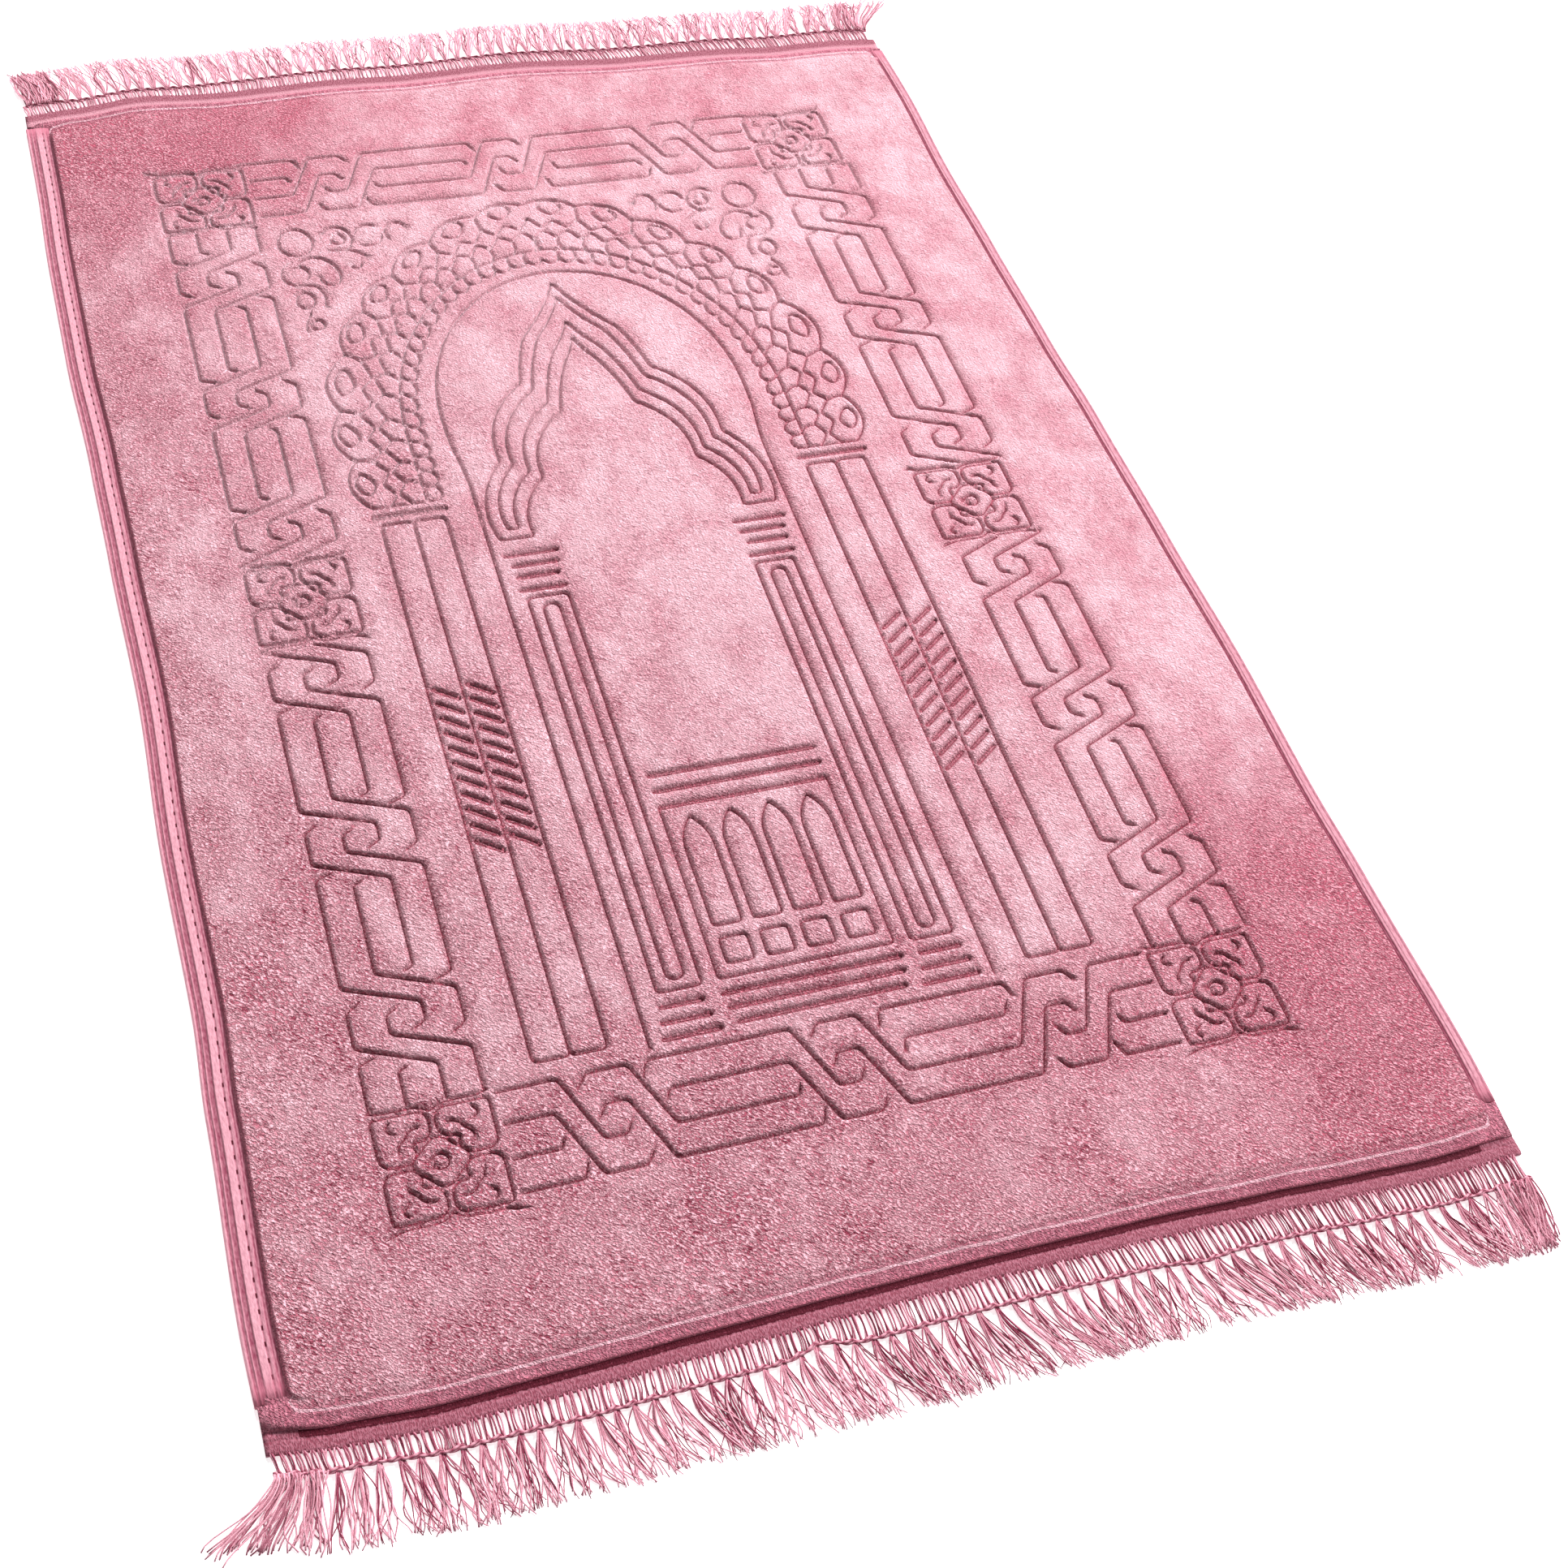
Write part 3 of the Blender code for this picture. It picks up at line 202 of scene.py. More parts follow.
# Sprigs above the arch: curved strokes, then nearly straight ones.
SPRIG_SHIFT = -3.0
SPRIG_ARCS = table(
    ARC_FIELDS,
    (171.0, 353.5, 12.5, 15.0, -20, 325), (141.0, 353.0, 11.5, 13.5, 50, 292),
    (140.0, 352.5, 5.0, 5.5, 120, 400), (117.0, 354.0, 10.0, 11.5, 15, 125),
    (118.0, 353.5, 11.0, 11.5, 185, 285), (96.0, 355.0, 8.5, 10.5, -40, 150),
    (162.0, 312.0, 17.0, 22.5, 48, 188), (152.5, 312.0, 7.2, 10.0, 178, 362),
    (174.0, 318.0, 7.0, 8.0, 60, 220), (175.5, 319.0, 11.0, 13.5, -65, 55),
    (132.0, 322.0, 4.0, 4.0, 180, 360), (174.5, 288.5, 6.5, 8.5, -60, 270),
    (171.0, 261.0, 5.0, 5.0, 40, 330),
)
SPRIG_STEMS = (
    ((146.0, 340.4), (137.0, 340.2), (130.0, 337.0), (124.0, 332.0)),
    ((172.0, 305.0), (163.0, 302.0), (160.0, 292.0), (161.0, 283.0)),
    ((173.0, 275.0), (178.0, 266.0), (179.0, 256.0)),
)


# ---------------------------------------------------------------- outline of the cloth
def smooth(value):
    """A step from 0 to 1 that eases at both ends: three times the square less twice the cube."""
    value = np.clip(value, 0.0, 1.0)
    return value * value * (3.0 - 2.0 * value)


def eased(value, rows, field):
    """A table's field at each value of its first field, easing in and out of every row."""
    places, sizes = np.array([(row[0], getattr(row, field)) for row in rows], float).T
    value = np.clip(value, places[0], places[-1])
    row = np.clip(np.searchsorted(places, value) - 1, 0, len(places) - 2)
    share = smooth((value - places[row]) / (places[row + 1] - places[row]))
    return sizes[row] + share * (sizes[row + 1] - sizes[row])


def profile(value, rows, field):
    """A table's field at each value of its first field, straight from row to row."""
    return np.interp(value, [row[0] for row in rows], [getattr(row, field) for row in rows])


def edge_x(side, y, inward=0.0):
    """X of the cloth's long edge on one side (-1 left, 1 right), moved inward."""
    return side * (eased(y, EDGE_ROWS, SIDE_NAMES[side]) - inward)


def fold_y(end, x, outward=0.0):
    """Y of the fold line at one end (-1 near, 1 far), moved outward."""
    return end * (eased(x, FOLD_ROWS, END_NAMES[end]) + outward)


def fold_line(end, inward, outward=0.0):
    """Points along a fold line from left to right, its ends a given way in from the edges."""
    corner = end * BINDING_REACH
    left, right = edge_x(-1, corner, inward), edge_x(1, corner, inward)
    return [(float(x), float(fold_y(end, x, outward))) for x in np.linspace(left, right, FOLD_STATIONS)]


def rabbet(side):
    """Width of the strip that a binding covers, with its gap."""
    return SIDE_WIDTH[side] + RABBET_GAP


def edge_line(side, inward, reach=BINDING_REACH):
    """Points up a long edge, moved inward: always at the same stations but for the two ends."""
    places = np.linspace(-BINDING_REACH, BINDING_REACH, EDGE_STATIONS)
    places = [-reach] + [float(y) for y in places if abs(y) < min(reach, BINDING_REACH) - 1.0] + [reach]
    return [(float(edge_x(side, y, inward)), y) for y in places]


def from_sides(x, y):
    """How far inside the nearer binding's inner edge each point lies."""
    return np.minimum(x - edge_x(-1, y, rabbet(-1)), edge_x(1, y, rabbet(1)) - x)


def from_folds(x, y, inward=0.0):
    """How far inside the nearer fold line, itself moved inward, each point lies."""
    return np.minimum(y - fold_y(-1, x, -inward), fold_y(1, x, -inward) - y)


def pile_distance(x, y):
    """How far inside the foot of the pile's edge each point lies: the least distance to a side or
    an end, and in a corner the radius less the distance to the corner's centre."""
    x, y = np.asarray(x, float), np.asarray(y, float)
    from_side, from_end = from_sides(x, y), from_folds(x, y, PILE_FOOT)
    rounded = CORNER_RADIUS - np.hypot(CORNER_RADIUS - from_side, CORNER_RADIUS - from_end)
    in_corner = (from_side < CORNER_RADIUS) & (from_end < CORNER_RADIUS)
    return np.where(in_corner, rounded, np.minimum(from_side, from_end))


def pile_corner(side, end, inset):
    """The pile's rounded corner, drawn anticlockwise. Each point is found by turns from the edge
    at its height and the fold line at its place, three times over."""
    arc = CORNER_RADIUS - inset
    points = []
    for angle in np.radians((0, 30, 60, 90) if side * end > 0 else (90, 60, 30, 0)):
        from_side = CORNER_RADIUS - arc * math.cos(angle)
        from_end = CORNER_RADIUS - arc * math.sin(angle)
        y = end * BINDING_REACH
        for _ in range(3):
            x = float(edge_x(side, y, rabbet(side) + from_side))
            y = float(fold_y(end, x, -PILE_FOOT - from_end))
        points.append((x, y))
    return points


def pile_loop(inset):
    """The pile's outline, a given way inside the foot of its edge: corner, end or side, and so on."""
    corners = [pile_corner(side, end, inset) for side, end in ((-1, -1), (1, -1), (1, 1), (-1, 1))]
    runs = ((0, -1), (1, 0), (0, 1), (-1, 0))
    loop = []
    for corner, after, (side, end) in zip(corners, corners[1:] + corners[:1], runs):
        loop += corner
        start, stop = corner[-1], after[0]
        if end:
            places = np.linspace(start[0], stop[0], FOLD_STATIONS)[1:-1]
            loop += [(float(x), float(fold_y(end, x, -PILE_FOOT - inset))) for x in places]
        else:
            low, high = sorted((start[1], stop[1]))
            straight = edge_line(side, rabbet(side) + inset)
            straight = [p for p in straight if low + CORNER_CLEAR < p[1] < high - CORNER_CLEAR]
            loop += straight if side > 0 else straight[::-1]
    return loop


def notch_steps(side, end, inwards):
    """The step from the mat's corner into a binding's notch, or out of it."""
    y = end * NOTCH
    return [(float(edge_x(side, y, inward)), y + end * RABBET_SLOPE) for inward in inwards]


def mat_loop():
    """The mat's own outline, anticlockwise: full width at the ends, narrower inside the bindings."""
    into, out_of = (CORNER_INWARD, TONGUE_INWARD), (TONGUE_INWARD, CORNER_INWARD)
    right = notch_steps(1, -1, into) + edge_line(1, TONGUE_INWARD, NOTCH) + notch_steps(1, 1, out_of)
    left = notch_steps(-1, 1, into) + edge_line(-1, TONGUE_INWARD, NOTCH)[::-1] + notch_steps(-1, -1, out_of)
    return fold_line(-1, CORNER_INWARD) + right + fold_line(1, CORNER_INWARD)[::-1] + left


# ---------------------------------------------------------------- drawing pressed lines
ROUND_POINTS, ARC_STEP, BAR_WIDTH = 7, 12, 2.0  # points a box's corner, degrees a point, and a bar's width


def redrawn(lines, change):
    """The lines with every point changed in one way."""
    return [([change(x, y) for x, y in points], closed) for points, closed in lines]


def mirrored(lines):
    """The lines and their mirror images across the rug's middle."""
    return lines + redrawn(lines, lambda x, y: (-x, y))


def bulged(start, end, bulge, count):
    """Points after start up to end, on a curve that bulges to the left by a share of its chord."""
    start, end = Vector(start), Vector(end)
    across = Vector((start.y - end.y, end.x - start.x)) * bulge
    steps = [(i + 1) / count for i in range(count)]
    return [tuple(start.lerp(end, t) + across * (4.0 * t * (1.0 - t))) for t in steps]


def ellipse_arc(x, y, half_x, half_y, first, last, count):
    """Points on an ellipse between two angles in degrees."""
    angles = [math.radians(a) for a in np.linspace(first, last, count)]
    return [(x + half_x * math.cos(a), y + half_y * math.sin(a)) for a in angles]


def rectangle(inner, outer, low, high):
    """A box's four corners, anticlockwise from the lower inner one."""
    return [(inner, low), (outer, low), (outer, high), (inner, high)]


def rounded_box(box, radius):
    """A box with rounded corners, anticlockwise from its right side's upper end."""
    points = []
    left, right = box.inner + radius, box.outer - radius
    low, high = box.low + radius, box.high - radius
    for quarter, (x, y) in enumerate(((right, high), (left, high), (left, low), (right, low))):
        first = quarter * 90
        points += ellipse_arc(x, y, radius, radius, first, first + 90, ROUND_POINTS)
    return points


def wide_bar(line):
    """A bar pressed broad: a narrow closed box round its line."""
    start, end = Vector(line[0]), Vector(line[1])
    across = (end - start).normalized() * (BAR_WIDTH / 2.0)
    across = Vector((-across.y, across.x))
    return [tuple(p) for p in (start - across, end - across, end + across, start + across)], True


def arc_points(row):
    """A row's arc, with a point about every 12 degrees."""
    count = 3 + abs(row.last - row.first) // ARC_STEP
    return ellipse_arc(row.x, row.y, row.half_x, row.half_y, row.first, row.last, count)


# ---------------------------------------------------------------- border
def fret_unit(middle, pitch):
    """One crossing of the fret, as (along, across) points: four hooked lines, the last two being
    the first two turned half round. Each runs short on one rail, slants to the next rail but one,
    runs long beside the next crossing and ends in a hook."""
    long_run = pitch - 33.0
    rail_0, rail_1, rail_2, rail_3 = RAILS
    first = [(-14.0, rail_0 + 6.5), (-10.0, rail_0), (14.0, rail_0), (32.0, rail_2)]
    first += [(long_run, rail_2), (long_run + 2.0, rail_2 - 5.0)]
    second = [(-7.0, rail_1 + 6.0), (-4.0, rail_1), (9.0, rail_1), (26.0, rail_3)]
    second += [(long_run + 8.0, rail_3), (long_run + 11.5, rail_3 - 9.5)]
    turned = [[(-s, rail_3 - t) for s, t in line] for line in (first, second)]
    return [[(middle + s, t) for s, t in line] for line in [first, second] + turned]


def clipped(line, low, high):
    """The part of a line whose first coordinate lies between two values."""
    kept = []
    for (s0, t0), (s1, t1) in zip(line[:-1], line[1:]):
        shares = [(c - s0) / (s1 - s0) for c in (low, high) if (c - s0) * (c - s1) < 0.0]
        cuts = sorted([0.0, 1.0] + shares)
        for a, b in zip(cuts[:-1], cuts[1:]):
            if not low <= s0 + (a + b) / 2.0 * (s1 - s0) <= high:
                continue
            ends = [(s0 + c * (s1 - s0), t0 + c * (t1 - t0)) for c in (a, b)]
            kept += ends if not kept or kept[-1] != ends[0] else ends[1:]
    return kept


def fret_run(middles, pitch, low, high):
    """All the fret's lines between two places along a strip."""
    lines = [clipped(line, low, high) for middle in middles for line in fret_unit(middle, pitch)]
    return [line for line in lines if len(line) > 1]


def side_fret():
    """The fret up both long sides. It runs from the middle medallion towards each end."""
    low = MEDALLION_HALF + STRIP_GAP
    high = MEDALLION_Y - MEDALLION_HALF - STRIP_GAP
    middles = [SIDE_FIRST + unit * SIDE_PITCH for unit in range(4)]
    half = [(line, False) for line in fret_run(middles, SIDE_PITCH, low, high)]
    half = redrawn(half, lambda s, t: (SIDE_OUTER_RAIL - t, s))
    both = half + redrawn(half, lambda x, y: (x, -y))
    return redrawn(mirrored(both), lambda x, y: (x + SIDE_SHIFT, y))


def box_line(row):
    """A line with a hook at both ends, inside the long box right of the middle crossing."""
    rail = RAILS[row.rail]
    low, high = row.low, row.high
    return [(low - 2.0, rail + row.near_hook), (low, rail), (high, rail), (high + 3.0, rail + row.far_hook)]


def end_fret(end):
    """The fret across one end. Its right part mirrors its left part, past a turn that joins them."""
    reach = MEDALLION_X - MEDALLION_HALF - STRIP_GAP
    turn = END_PITCH / 2.0
    middles = [END_MIDDLE + unit * END_PITCH for unit in (-2, -1, 0)]
    left = fret_run(middles, END_PITCH, -reach, turn)
    right = [[(-s, t) for s, t in line] for line in fret_run(middles[:2], END_PITCH, -reach, -turn)]
    lines = [(line, False) for line in left + right + [box_line(row) for row in END_BOX]]
    return redrawn(lines, lambda s, t: (s, end * (INNER_RAIL[end] + t)))


def medallion(x, y):
    """A flower whose radius waves four times round, a ring in its middle, a scrolled leaf in each
    corner, and a pointed line (the gate) that closes the fret above and below."""
    ring = ellipse_arc(RING_MIDDLE, 0.0, RING_HALF, RING_HALF, 140, -130, 20)
    flower = []
    for angle in np.radians(np.arange(0, 360, 15)):
        reach = FLOWER_HALF + FLOWER_WAVE * math.cos(4 * angle)
        flower.append((reach * math.cos(angle), reach * math.sin(angle)))
    leaf = [(LEAF_CORNER, LEAF_CORNER)] + [point for row in LEAF_ARCS for point in arc_points(row)]
    gate = [(u, GATE_OUT + v) for u, v in GATE]
    gate += [(0.0, GATE_POINT)] + [(-u, v) for u, v in reversed(gate)]
    lines = [(ring, False), (flower, True)]
    for across in (-1, 1):
        lines.append(([(u, v * across) for u, v in gate], False))
        for up in (-1, 1):
            lines.append(([(u * across, v * up) for u, v in leaf], True))
            lines += [([(u * across, v * up) for u, v in vein], False) for vein in (VEIN, COMMA)]
    return redrawn(lines, lambda u, v: (x + u, y + v))


def medallions():
    """Three medallions up each long side."""
    rows = (-MEDALLION_Y, 0.0, MEDALLION_Y)
    return [line for x in (-MEDALLION_X, MEDALLION_X) for y in rows for line in medallion(x, y)]


# ---------------------------------------------------------------- arches
def lace_inner(share):
    """A point on the lace arch's inner edge, by its place from the top (0) to the foot (1)."""
    arc = math.pi / 2 * math.sqrt((LACE_HALF**2 + LACE_RISE**2) / 2.0)
    run = share * (arc + LACE_SPRING - LACE_FOOT)
    if run > arc:
        return LACE_HALF, LACE_SPRING - (run - arc)
    angle = math.pi / 2 * (1.0 - run / arc)
    return LACE_HALF * math.cos(angle), LACE_SPRING + LACE_RISE * math.sin(angle)


def lace_point(place, across):
    """A point in the lace: place counts scallops from the top, across is 0 inside and 1 outside."""
    if place < 0.0:
        x, y = lace_point(-place, across)
        return -x, y
    row = min(int(place), len(CUSPS) - 2)
    outer = Vector(CUSPS[row]).lerp(Vector(CUSPS[row + 1]), place - row)
    inner = Vector(lace_inner(place / (len(CUSPS) - 1)))
    return tuple(inner.lerp(outer, across))


def over_the_top(half):
    """A whole line from the right foot to the left one, given its right half from the top down."""
    return list(reversed(half)) + [(-x, y) for x, y in half[1:]]


def lace_pad(place, pads):
    """A pad of the lace at a place along it."""
    return [lace_point(place + pad.along, pad.across) for pad in pads]


def petal_pad(place):
    """A petal with both its halves alike, round a place along the lace."""
    half = lace_pad(place, PETAL_HALF)
    other = [lace_point(place - pad.along, pad.across) for pad in PETAL_HALF[1:-1]]
    return half + list(reversed(other))


def lace_arch():
    """Outer scallops and inner beads in one closed line, the beads' partings, and the pads between.
    A bead's edge is a flattened half sine from cusp to cusp."""
    count = len(CUSPS) - 1
    outer = [tuple(CUSPS[0])]
    for start, end in zip(CUSPS[:-1], CUSPS[1:]):
        outer += bulged(start, end, SCALLOP_BULGE, SCALLOP_POINTS)
    beads = np.linspace(0.0, BEADS_A_SIDE, BEADS_A_SIDE * BEAD_POINTS + 1)
    rise = np.abs(np.sin(np.pi * beads)) ** BEAD_FLATNESS
    per_bead = count / BEADS_A_SIDE
    inner = [
        lace_point(min(b * per_bead, count - 0.001), BEAD_CUSP + (BEAD_PEAK - BEAD_CUSP) * r)
        for b, r in zip(beads, rise)
    ]
    lines = [(over_the_top(outer) + list(reversed(over_the_top(inner))), True)]
    parting = [lace_point(p, BEAD_PARTING) for p in np.linspace(0.0, count - 0.02, PARTING_POINTS)]
    lines.append((over_the_top(parting), False))
    for bead in range(1, BEADS_A_SIDE):
        place = bead * per_bead
        stops = ((place - 0.03, BEAD_PARTING), (place + 0.02, -0.02), (place, BEAD_CUSP))
        lines += mirrored([([lace_point(*stop) for stop in stops], False)])
    half = []
    for place in range(count):
        half += [(lace_pad(place, pads), False) for pads in (LATTICE_LOW, LATTICE_HIGH) + TIES]
        half.append((petal_pad(place + 0.5), True))
    return lines + mirrored(half)


def horseshoe():
    """One line over the niche, drawn in at the neck and straight down beside the columns."""
    arch = ellipse_arc(0.0, HORSESHOE_SPRING, HORSESHOE_HALF, HORSESHOE_RISE, 90, 0, 31)
    neck = [(HORSESHOE_HALF - 0.4, HORSESHOE_SPRING - 25.0), (NECK_X + 1.5, NECK_Y + 18.0), (NECK_X, NECK_Y)]
    return [(over_the_top(arch + neck + [(NECK_X, LEG_FOOT)]), False)]


def niche_side(line):
    """One side of a line of the niche, from its point down to its foot."""
    stops = (
        (line.foot_x, line.foot_y),
        (line.cusp_x, line.cusp_y),
        (line.upper_x, line.upper_y),
        (line.neck_x, line.neck_y),
        (0.0, line.apex_y),
    )
    points = [stops[0]]
    for start, end, bulge, count in zip(stops[:-1], stops[1:], NICHE_BULGES, (9, 9, 6, 6)):
        points += bulged(start, end, -bulge, count)
    return list(reversed(points))


def niche():
    """Two bands, each closed by its outer line, its inner line and a short foot on both sides."""
    edges = [over_the_top(niche_side(line)) for line in NICHE]
    return [(edges[0] + edges[3][::-1], True), (edges[1] + edges[2][::-1], True)]


# ---------------------------------------------------------------- columns and panel
def side_bars():
    """Capitals and steps, the outer columns' caps, and their blocks of twisted rope."""
    bars = [((bar.inner, bar.y), (bar.outer, bar.y)) for bar in SIDE_BARS]
    bars.append(((OUTER_COLUMN.inner - 3.0, OUTER_COLUMN_CAP), (OUTER_COLUMN.outer + 4.0, OUTER_COLUMN_CAP)))
    for start in (OUTER_COLUMN.inner + ROPE_INSET, OUTER_COLUMN_MIDDLE + ROPE_INSET):
        for y in np.arange(ROPE_LOW, ROPE_HIGH, ROPE_PITCH):
            bars.append(((start, y - ROPE_RISE / 2), (start + ROPE_WIDTH, y + ROPE_RISE / 2)))
    return bars


def middle_bars():
    """The panel's bars."""
    return [((bar.inner, bar.y), (bar.outer, bar.y)) for bar in MIDDLE_BARS]


def broad_bars():
    """The middle lines of every broad bar."""
    across = [(list(bar), False) for bar in middle_bars()]
    return mirrored([(list(bar), False) for bar in side_bars()]) + across


def columns():
    """Broad bars, slotted inner columns, and outer columns of two strips."""
    lines = [wide_bar(bar) for bar in side_bars()]
    lines += [(rounded_box(INNER_COLUMN, 3.0), True), (rounded_box(INNER_SLOT, 5.0), True)]
    low, high = OUTER_COLUMN.low, OUTER_COLUMN.high
    lines.append((rounded_box(Box(OUTER_COLUMN.inner, OUTER_COLUMN_MIDDLE, low, high), 3.5), True))
    lines.append((rounded_box(Box(OUTER_COLUMN_MIDDLE, OUTER_COLUMN.outer, low, high), 3.5), True))
    return mirrored(lines)


def panel():
    """Bars across, and an arcade of narrow pointed arches over a row of small tiles."""
    lines = [wide_bar(bar) for bar in middle_bars()]
    low_left, low_right, high_right, high_left = rectangle(*PANEL)
    lines.append(([high_left, low_left, low_right, high_right], False))
    for place in (-1.5, -0.5, 0.5, 1.5):
        middle = place * ARCADE_PITCH
        right = [(middle + ARCADE_HALF, ARCADE_BASE), (middle + ARCADE_HALF, ARCADE_SPRING)]
        right += bulged(right[-1], (middle, ARCADE_APEX), -0.10, 8)
        left = [(2 * middle - x, y) for x, y in reversed(right[:-1])]
        lines.append((right + left, True))
        lines.append((rectangle(middle - TILE_HALF, middle + TILE_HALF, TILE_LOW, TILE_HIGH), True))
    return lines


def sprigs():
    """Leaves, rings and stems above the arch, a little to the left of the middle."""
    strokes = [(arc_points(row), False) for row in SPRIG_ARCS] + [(list(stem), False) for stem in SPRIG_STEMS]
    return redrawn(mirrored(strokes), lambda x, y: (x + SPRIG_SHIFT, y))


def pressed_lines():
    """Every pressed line of the pattern, as (points, whether it closes)."""
    border = side_fret() + end_fret(-1) + end_fret(1) + medallions()
    arches = lace_arch() + horseshoe() + niche()
    return border + arches + columns() + panel() + sprigs()

# ---------------------------------------------------------------- heights
MEASURED, SQUARE = 14.0, 20.0  # lines are measured up to this far, square by square of this size
DENT_WAVES = ((0.3, 17.0), (1.4, 13.0), (2.2, 10.5), (2.9, 23.0), (0.9, 8.5))  # turn and length
EDGE_SLACK = 0.01  # a point this near to a step counts as on it
# Painted sheen: light that the brushed pile gives back, put into its colour, and what it loses at each margin
# of the rug.
SHEEN_FULL, LOSS_LEFT, PATCH_SPARES, LOSS_RIGHT = 0.9, 0.42, 0.9, 0.12
LOSS_NEAR, LOSS_NEAR_RIGHT, LOSS_FAR, LOSS_FAR_LEFT = 0.56, 0.6, 0.4, 0.9
NAP_MIDDLE, NAP_LEFTWARD, NAP_NEARWARD, NAP_LEAST = 0.58, 0.0011, 0.0007, 0.3


def segments(lines):
    """Every straight part of the lines, as arrays of starts and ends."""
    starts, ends = [], []
    for line, closed in lines:
        line = np.array(line, float)
        starts.append(line if closed else line[:-1])
        ends.append(np.roll(line, -1, axis=0) if closed else line[1:])
    return np.concatenate(starts), np.concatenate(ends)


def distance_to_lines(points, lines):
    """How far each point lies from the nearest line, 14 mm at most. Points are taken by squares,
    and only the lines' parts near a square are measured."""
    starts, ends = segments(lines)
    low = np.minimum(starts, ends) - MEASURED
    high = np.maximum(starts, ends) + MEASURED
    nearest = np.full(len(points), MEASURED)
    cell = np.floor(points / SQUARE).astype(int)
    order = np.lexsort((cell[:, 1], cell[:, 0]))
    breaks = np.flatnonzero(np.any(np.diff(cell[order], axis=0) != 0, axis=1)) + 1
    for group in np.split(order, breaks):
        corner = cell[group[0]] * SQUARE
        near = np.all((low < corner + SQUARE) & (high > corner), axis=1)
        if not near.any():
            continue
        along = ends[near] - starts[near]
        length = np.maximum((along**2).sum(axis=1), 1e-9)
        some = points[group, None, :] - starts[near]
        share = np.clip((some * along).sum(axis=2) / length, 0.0, 1.0)
        gap = np.linalg.norm(some - share[..., None] * along, axis=2)
        nearest[group] = np.minimum(gap.min(axis=1), MEASURED)
    return nearest


def swell(x, y):
    """A slow rise and fall of the padding: a long wave across times one along, and a slanting one."""
    long_wave = np.sin(x / 61.0 + 0.8) * np.sin(y / 74.0 + 0.3)
    return SWELL * (0.65 * long_wave + 0.35 * np.sin((x - 1.3 * y) / 39.0))


def dents(x, y):
    """Small uneven dents of flattened plush: the mean of short waves in turned directions, each
    bent sideways by a slower one."""
    total = np.zeros_like(x)
    for number, (turn, wave) in enumerate(DENT_WAVES):
        along = x * math.cos(turn) + y * math.sin(turn)
        across = y * math.cos(turn) - x * math.sin(turn)
        total += np.sin(along / wave * 2.0 + 1.7 * np.sin(across / wave / 1.6 + number))
    return total / len(DENT_WAVES)


def painted_sheen(x, y):
    """How much light the brushed pile gives back, from 0 to 1: painted sheen, which the plush puts into its
    colour.
    It is nearly full, less a loss down the left margin (but for one patch), a small one down the right
    margin, one over the near end that reaches further in on the right, and one over the far end that is
    greatest to the left.
    Each margin is a smooth step, and the patch a bell along the rug."""
    left, right = smooth((-x - 200.0) / 110.0), smooth((x - 200.0) / 80.0)
    near, far = smooth((-y - 300.0 + 90.0 * right) / 180.0), smooth((y - 330.0) / 160.0)
    patch = np.exp(-(((y + 40.0) / 130.0) ** 2))
    far_left = smooth((-x - 90.0) / 110.0) * (1.0 - 0.5 * left)
    total = SHEEN_FULL - LOSS_LEFT * left * (1.0 - PATCH_SPARES * patch) - LOSS_RIGHT * right
    total = total - near * (LOSS_NEAR * (1.0 - left) + LOSS_NEAR_RIGHT * right)
    return total - far * (LOSS_FAR * (1.0 - right) + LOSS_FAR_LEFT * far_left)


def nap(x, y):
    """How rough the pile looks, from 0 to 1: it grows evenly to the left and towards the near end."""
    return np.clip(NAP_MIDDLE - NAP_LEFTWARD * x - NAP_NEARWARD * y, NAP_LEAST, 1.0)


def band_height(x, y):
    """Height of the flat woven band at each end, with its ribs fading at the long edges."""
    from_side, from_end = from_sides(x, y), from_folds(x, y)
    band = profile(from_end, BAND_ROWS, "height")
    fade = np.clip((from_side - 1.0) / BAND_FADE, 0.0, 1.0)
    in_binding = (from_side < 0.3) & (np.abs(y) < BINDING_REACH + 0.9)
    plain = np.where(in_binding, TONGUE_TOP, CORNER_TOP)
    return plain + (band - plain) * np.where(from_end < BAND_ROWS[1].inside, 1.0, fade)


def mat_top(points, gap):
    """Height of the mat's upper face, with gap the distance to the nearest pressed line: the
    band's height, and over the pile its top with swell and dents, less a groove of cosine section
    and a sag that dies away from the line."""
    x, y = points[:, 0], points[:, 1]
    band = band_height(x, y)
    pile = smooth(pile_distance(x, y) / PILE_SLOPE)
    press = 0.5 + 0.5 * np.cos(np.pi * np.clip(gap / GROOVE_HALF, 0.0, 1.0))
    sag = SAG_DEPTH * np.exp(-gap / SAG_RUN)
    full = PILE_TOP + PILE_LIFT + swell(x, y) + DENT_DEPTH * dents(x, y) - GROOVE_DEPTH * press - sag
    return band + pile * (full - band)


def mat_bottom(points):
    """Height of the mat's lower face: on the floor, raised where a binding wraps under it."""
    x, y = points[:, 0], points[:, 1]
    left = x < edge_x(-1, y, rabbet(-1)) + EDGE_SLACK
    right = x > edge_x(1, y, rabbet(1)) - EDGE_SLACK
    return np.where((left | right) & (np.abs(y) < NOTCH + EDGE_SLACK), TONGUE_BOTTOM, 0.0)


# ---------------------------------------------------------------- mesh lines and meshes
CORNER_CUT, LINE_STEP = 2.6, 4.0  # how far back a corner is cut, and a line's longest part
FILL_INSIDE, SAME_POINT = 1, 0.02  # what the triangulation keeps, and how near two points are one


